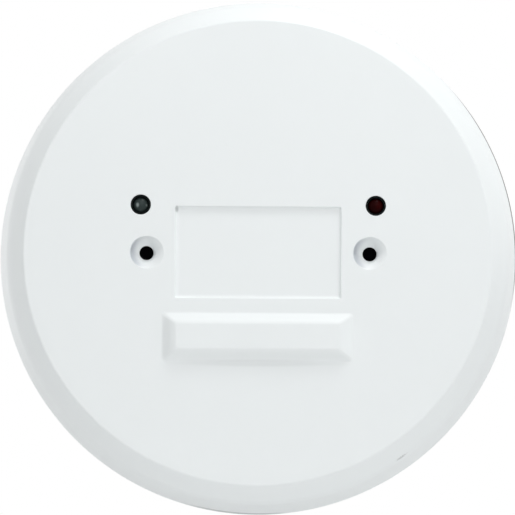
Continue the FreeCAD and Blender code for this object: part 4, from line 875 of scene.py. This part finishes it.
class RELAY_MODULE_OT_bushes(bpy.types.Operator):
    """Models the rubber bushes in the back of the tub, open for the leads"""

    bl_idname = "relay_module.bushes"
    bl_label = "Lead bushes"

    def execute(self, context):
        size = settings("housing_sizes")
        rubber = bush_rubber("bush_rubber", settings("finishes").rubber)
        back, inside, lip = size.tub_depth, size.tub_depth - size.tub_wall, mm(1.5)
        bore, neck, rim = mm(3.2), mm(4.8), mm(6.5)
        curve = arc(lip / 2 - mm(0.02), 0, 90, 5, (rim - lip / 2, lip / 2))
        inner = [(across, inside - along) for across, along in reversed(curve)]
        outer = [(across, back + along) for across, along in curve]
        for name, place in zip(("supply", "contact"), sides(size.bush_spacing, -size.bush_drop)):
            bush = turned(f"{name}_bush", [
                (bore, inside - lip + mm(0.3)), (bore + mm(0.3), inside - lip), *inner,
                (rim, inside - mm(0.05)), (rim - mm(0.05), inside), (neck, inside), (neck, back),
                (rim - mm(0.05), back), (rim, back + mm(0.05)), *outer, (bore + mm(0.4), back + lip),
                (bore + mm(0.1), back + lip - mm(0.15)), (bore, back + lip - mm(0.45))], place, tube=True)
            dress(bush, rubber, f"{name}_grommet", 40)
        return {"FINISHED"}


class RELAY_MODULE_OT_screws(bpy.types.Operator):
    """Models one housing screw with its cross recess and copies it to the four corners"""

    bl_idname = "relay_module.screws"
    bl_label = "Housing screws"

    def execute(self, context):
        size = settings("housing_sizes")
        seat, radius, thread, edge = screw_seat(), mm(2.6), mm(1.45), mm(0.8)
        reach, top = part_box("housing_screws")[0].y, seat + SCREW_HEAD
        screw = turned("screw_0", [
            (mm(0.5), reach), (mm(1.3), reach + mm(1.0)), (thread, reach + mm(1.2)), (thread, seat),
            (radius - mm(0.1), seat), (radius, seat + mm(0.1)),
            *arc(edge, 0, 80, 6, (radius - edge, seat + edge)), (mm(0.6), top)], steps=STEPS_COARSE)
        wings = [stacked(f"wing_{index}", mm(wide), mm(high), [
            (mm(-0.25), mm(-0.25), seat + mm(0.7)), (0, 0, top + mm(0.3))])
            for index, (wide, high) in enumerate(((0.8, 3.1), (3.1, 0.8)))]
        combine(screw, wings, "DIFFERENCE")
        screws = [copied(screw, f"screw_{index + 1}", Matrix.Translation((x, 0, z))
                         @ Matrix.Rotation(math.radians(17 + 40 * index), 4, "Y"))
                  for index, (x, z) in enumerate(corners(size.screw_across, size.screw_up))]
        bpy.data.objects.remove(screw)
        zinc = plated_metal("zinc_steel", settings("finishes").zinc, 0.28, (1, 1, 0.3))
        dress(gather("housing_screw_set", screws), zinc, "housing_screws")
        return {"FINISHED"}


def enamelled_wire():
    """Fine enamelled copper, wound in rings about the coil's axis, darker where the wave dips between turns:
    painted shade in the creases.
    """
    finish = Finish("copper_wire", metallic=0.8, coat_weight=0.5)
    turns = finish.node("TexWave", {"bands_direction": "Y", "wave_profile": "SIN"}, {
        "Vector": finish.place, "Scale": 1300.0, "Distortion": 0.4}, "Fac")
    return finish.done(finish.mix(turns, (0.3, 0.09, 0.03), (0.7, 0.26, 0.1)), 0.3 + turns * 0.15, turns,
                       mm(0.06))


class RELAY_MODULE_OT_inside(bpy.types.Operator):
    """Gives the board, the relay and every other inner node its finish"""

    bl_idname = "relay_module.inside"
    bl_label = "Finishes of the inside"

    def execute(self, context):
        silver = (0.85, 0.84, 0.8)
        rows = (
            (board_green("board_green", (0.02, 0.16, 0.06)), "circuit_board"),
            (plated_metal("board_screw_zinc", (0.6, 0.61, 0.62)), "board_screws"),
            (glossy_coating("film_yellow", (0.75, 0.5, 0.05)), "film_capacitor"),
            (glossy_coating("can_sleeve", (0.03, 0.04, 0.09)), "smoothing_capacitor"),
            (glossy_coating("varistor_blue", (0.03, 0.12, 0.45)), "varistor"),
            (glossy_coating("fuse_brown", (0.12, 0.04, 0.02)), "fuse"),
            (glossy_coating("surge_grey", (0.25, 0.32, 0.3), 0.4), "surge_resistor"),
            (glossy_coating("resistor_tan", (0.6, 0.45, 0.28), 0.35), "resistors"),
            (glossy_coating("diode_black", (0.02, 0.02, 0.022)), "zener_diode", "flyback_diode"),
            (moulded_plastic("chip_black", (0.02, 0.02, 0.021), 0.5, mm(0.12), mm(0.01), 0.15),
             "bridge_rectifier", "optocoupler", "transistor"),
            (moulded_plastic("relay_case", (0.02, 0.05, 0.12), 0.3, coat=0.3), "relay_cover"),
            (moulded_plastic("relay_base_black", (0.03, 0.03, 0.03)), "relay_base"),
            (moulded_plastic("bobbin_white", (0.75, 0.74, 0.7)), "coil_bobbin"),
            (enamelled_wire(), "coil_winding"),
            (plated_metal("relay_iron", (0.5, 0.5, 0.5), 0.32, (1, 0.2, 1)),
             "relay_yoke", "relay_core", "armature"),
            (plated_metal("spring_bronze", (0.7, 0.45, 0.2), 0.28, (0.2, 1, 1)),
             "return_spring", "contact_blade"),
            (plated_metal("pin_brass", (0.75, 0.62, 0.35), 0.3), "coil_pins", "common_terminal",
             "open_contact_terminal", "closed_contact_terminal", "blade_rivets"),
            (plated_metal("contact_silver", silver, 0.2), "fixed_contacts"),
            (plated_metal("moving_contact_silver", silver, 0.2), "moving_contact"),
        )
        for finish, *nodes in rows:
            for node in nodes:
                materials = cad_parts[node].data.materials
                materials.clear()
                materials.append(finish)
        return {"FINISHED"}


# Name, place, width and power in watts
LAMPS = (
    ("above_right", (0.105, -0.17, 0.435), 0.12, 0.7),
    ("front", (0.15, -0.9, 0.5), 0.6, 1.3),
    ("below", (0.1, 0.06, -0.7), 0.3, 0.85),
    ("behind_left", (-0.5, 0.42, -0.05), 0.75, 1.25),
    ("behind_right", (0.5, 0.42, 0.05), 0.5, 0.25),
)


def add_floor(studio):
    """A wide floor below the module, clear when seen from below so that it never hides it."""
    floor = start("floor", bpy.ops.mesh.primitive_plane_add, size=12,
                  location=(0, 0, cad_box[0].z - studio.floor_gap))
    finish = Finish("floor_paint", roughness=0.85)
    patches = finish.noise(0.4, 3)
    finish.set("Base Color", finish.mix(patches, tint(studio.floor, 0.99), tint(studio.floor, 1.01)))
    finish.one_sided()
    floor.data.materials.append(finish.material)


def add_hole_shade(size):
    """Dark discs just below the bowls of the two screw holes: painted shade that makes the holes read black;
    clear when seen from behind.
    """
    finish = Finish("hole_shade", roughness=0.9, specular_ior_level=0)
    finish.set("Base Color", finish.mix(finish.noise(mm(3)), (0.001, 0.001, 0.0012), (0.002, 0.002, 0.0025)))
    finish.one_sided()
    for index, place in enumerate(sides(size.screw_spacing)):
        dark = start(f"hole_shade_{index}", bpy.ops.mesh.primitive_circle_add, vertices=STEPS_COARSE,
                     radius=size.hole_diameter / 2 - mm(0.01), fill_type="NGON", rotation=(QUARTER, 0, 0),
                     location=(place[0], size.dish_depth - size.depth + mm(0.5), place[1]))
        dark.data.materials.append(finish.material)


def add_room_light(studio):
    """Light from all round, stronger from the right; the camera and reflections see white."""
    world = bpy.data.worlds.new("room")
    bpy.context.scene.world = world
    world.use_nodes = True
    world.node_tree.nodes.clear()
    room = Shading(world.node_tree)
    rays = [room.node("LightPath", {}, {}, kind)
            for kind in ("Is Camera Ray", "Is Glossy Ray", "Is Transmission Ray")]
    seen = rays[0].maths("MAXIMUM", rays[0].maths("MAXIMUM", rays[0], rays[1]), rays[2])
    lean = room.along(room.node("TexCoord", {}, {}, "Generated"), tuple(studio.room_lean))
    light = room.node("Background", {}, {"Color": (1, 1, 1), "Strength": (lean + 1) * studio.room})
    white = room.node("Background", {}, {"Color": (1, 1, 1), "Strength": 1})
    room.node("OutputWorld", {}, {"Surface": room.node("MixShader", {}, {0: seen, 1: light, 2: white})})


def add_lamp(name, place, size, power):
    """A soft square lamp that looks at the middle of the module."""
    light = bpy.data.lights.new(name, "AREA")
    light.size, light.energy = size, power
    lamp = bpy.data.objects.new(name, light)
    bpy.context.scene.collection.objects.link(lamp)
    lamp.location = place
    lamp.rotation_euler = (-Vector(place)).to_track_quat("-Z", "Y").to_euler()


def add_camera(studio):
    """The photograph's view: a little below the face's axis, with a slight roll."""
    lens = bpy.data.cameras.new("camera")
    lens.lens = studio.lens
    lens.sensor_width = 36
    lens.clip_start, lens.clip_end = 0.01, 50
    camera = bpy.data.objects.new("camera", lens)
    bpy.context.scene.collection.objects.link(camera)
    flat = math.cos(studio.elevation)
    back = Vector((math.sin(studio.azimuth) * flat, -math.cos(studio.azimuth) * flat,
                   math.sin(studio.elevation)))
    camera.location = Vector(studio.aim) + back * studio.distance
    camera.rotation_mode = "QUATERNION"
    turn = (-back).to_track_quat("-Z", "Y")
    camera.rotation_quaternion = turn @ Matrix.Rotation(studio.roll, 4, "Z").to_quaternion()
    bpy.context.scene.camera = camera


class RELAY_MODULE_OT_studio(bpy.types.Operator):
    """Sets up the plain floor, the soft lamps, the room light and the camera"""

    bl_idname = "relay_module.studio"
    bl_label = "Studio"

    def execute(self, context):
        studio = settings("studio_settings")
        context.scene.view_settings.view_transform = "Standard"
        add_floor(studio)
        # Painted shade: dark discs in the two screw holes.
        add_hole_shade(settings("cover_sizes"))
        add_room_light(studio)
        for lamp in LAMPS:
            add_lamp(*lamp)
        add_camera(studio)
        return {"FINISHED"}


class RELAY_MODULE_PT_panel(bpy.types.Panel):
    """The module's pieces and settings"""

    bl_label = "Relay module"
    bl_space_type = "VIEW_3D"
    bl_region_type = "UI"
    bl_category = "Relay module"

    def draw(self, context):
        for operator in OPERATORS:
            self.layout.operator(operator.bl_idname)
        for group in GROUPS:
            box = self.layout.box()
            for name in GROUPS[group].__annotations__:
                box.prop(getattr(context.scene, group), name)


GROUPS = {
    "cover_sizes": CoverSizes,
    "light_sizes": LightSizes,
    "housing_sizes": HousingSizes,
    "finishes": Finishes,
    "studio_settings": StudioSettings,
}
OPERATORS = [RELAY_MODULE_OT_cover, RELAY_MODULE_OT_housing, RELAY_MODULE_OT_lights, RELAY_MODULE_OT_bushes,
             RELAY_MODULE_OT_screws, RELAY_MODULE_OT_inside, RELAY_MODULE_OT_studio]
CLASSES = [*GROUPS.values(), *OPERATORS, RELAY_MODULE_PT_panel]


def register():
    for item in CLASSES:
        bpy.utils.register_class(item)
    for name, group in GROUPS.items():
        setattr(bpy.types.Scene, name, PointerProperty(type=group))


def unregister():
    for name in GROUPS:
        delattr(bpy.types.Scene, name)
    for item in reversed(CLASSES):
        bpy.utils.unregister_class(item)


def main():
    register()
    for name in ("cover", "housing", "lights", "bushes", "screws", "inside", "studio"):
        getattr(bpy.ops.relay_module, name)()


if __name__ == "__main__":
    main()
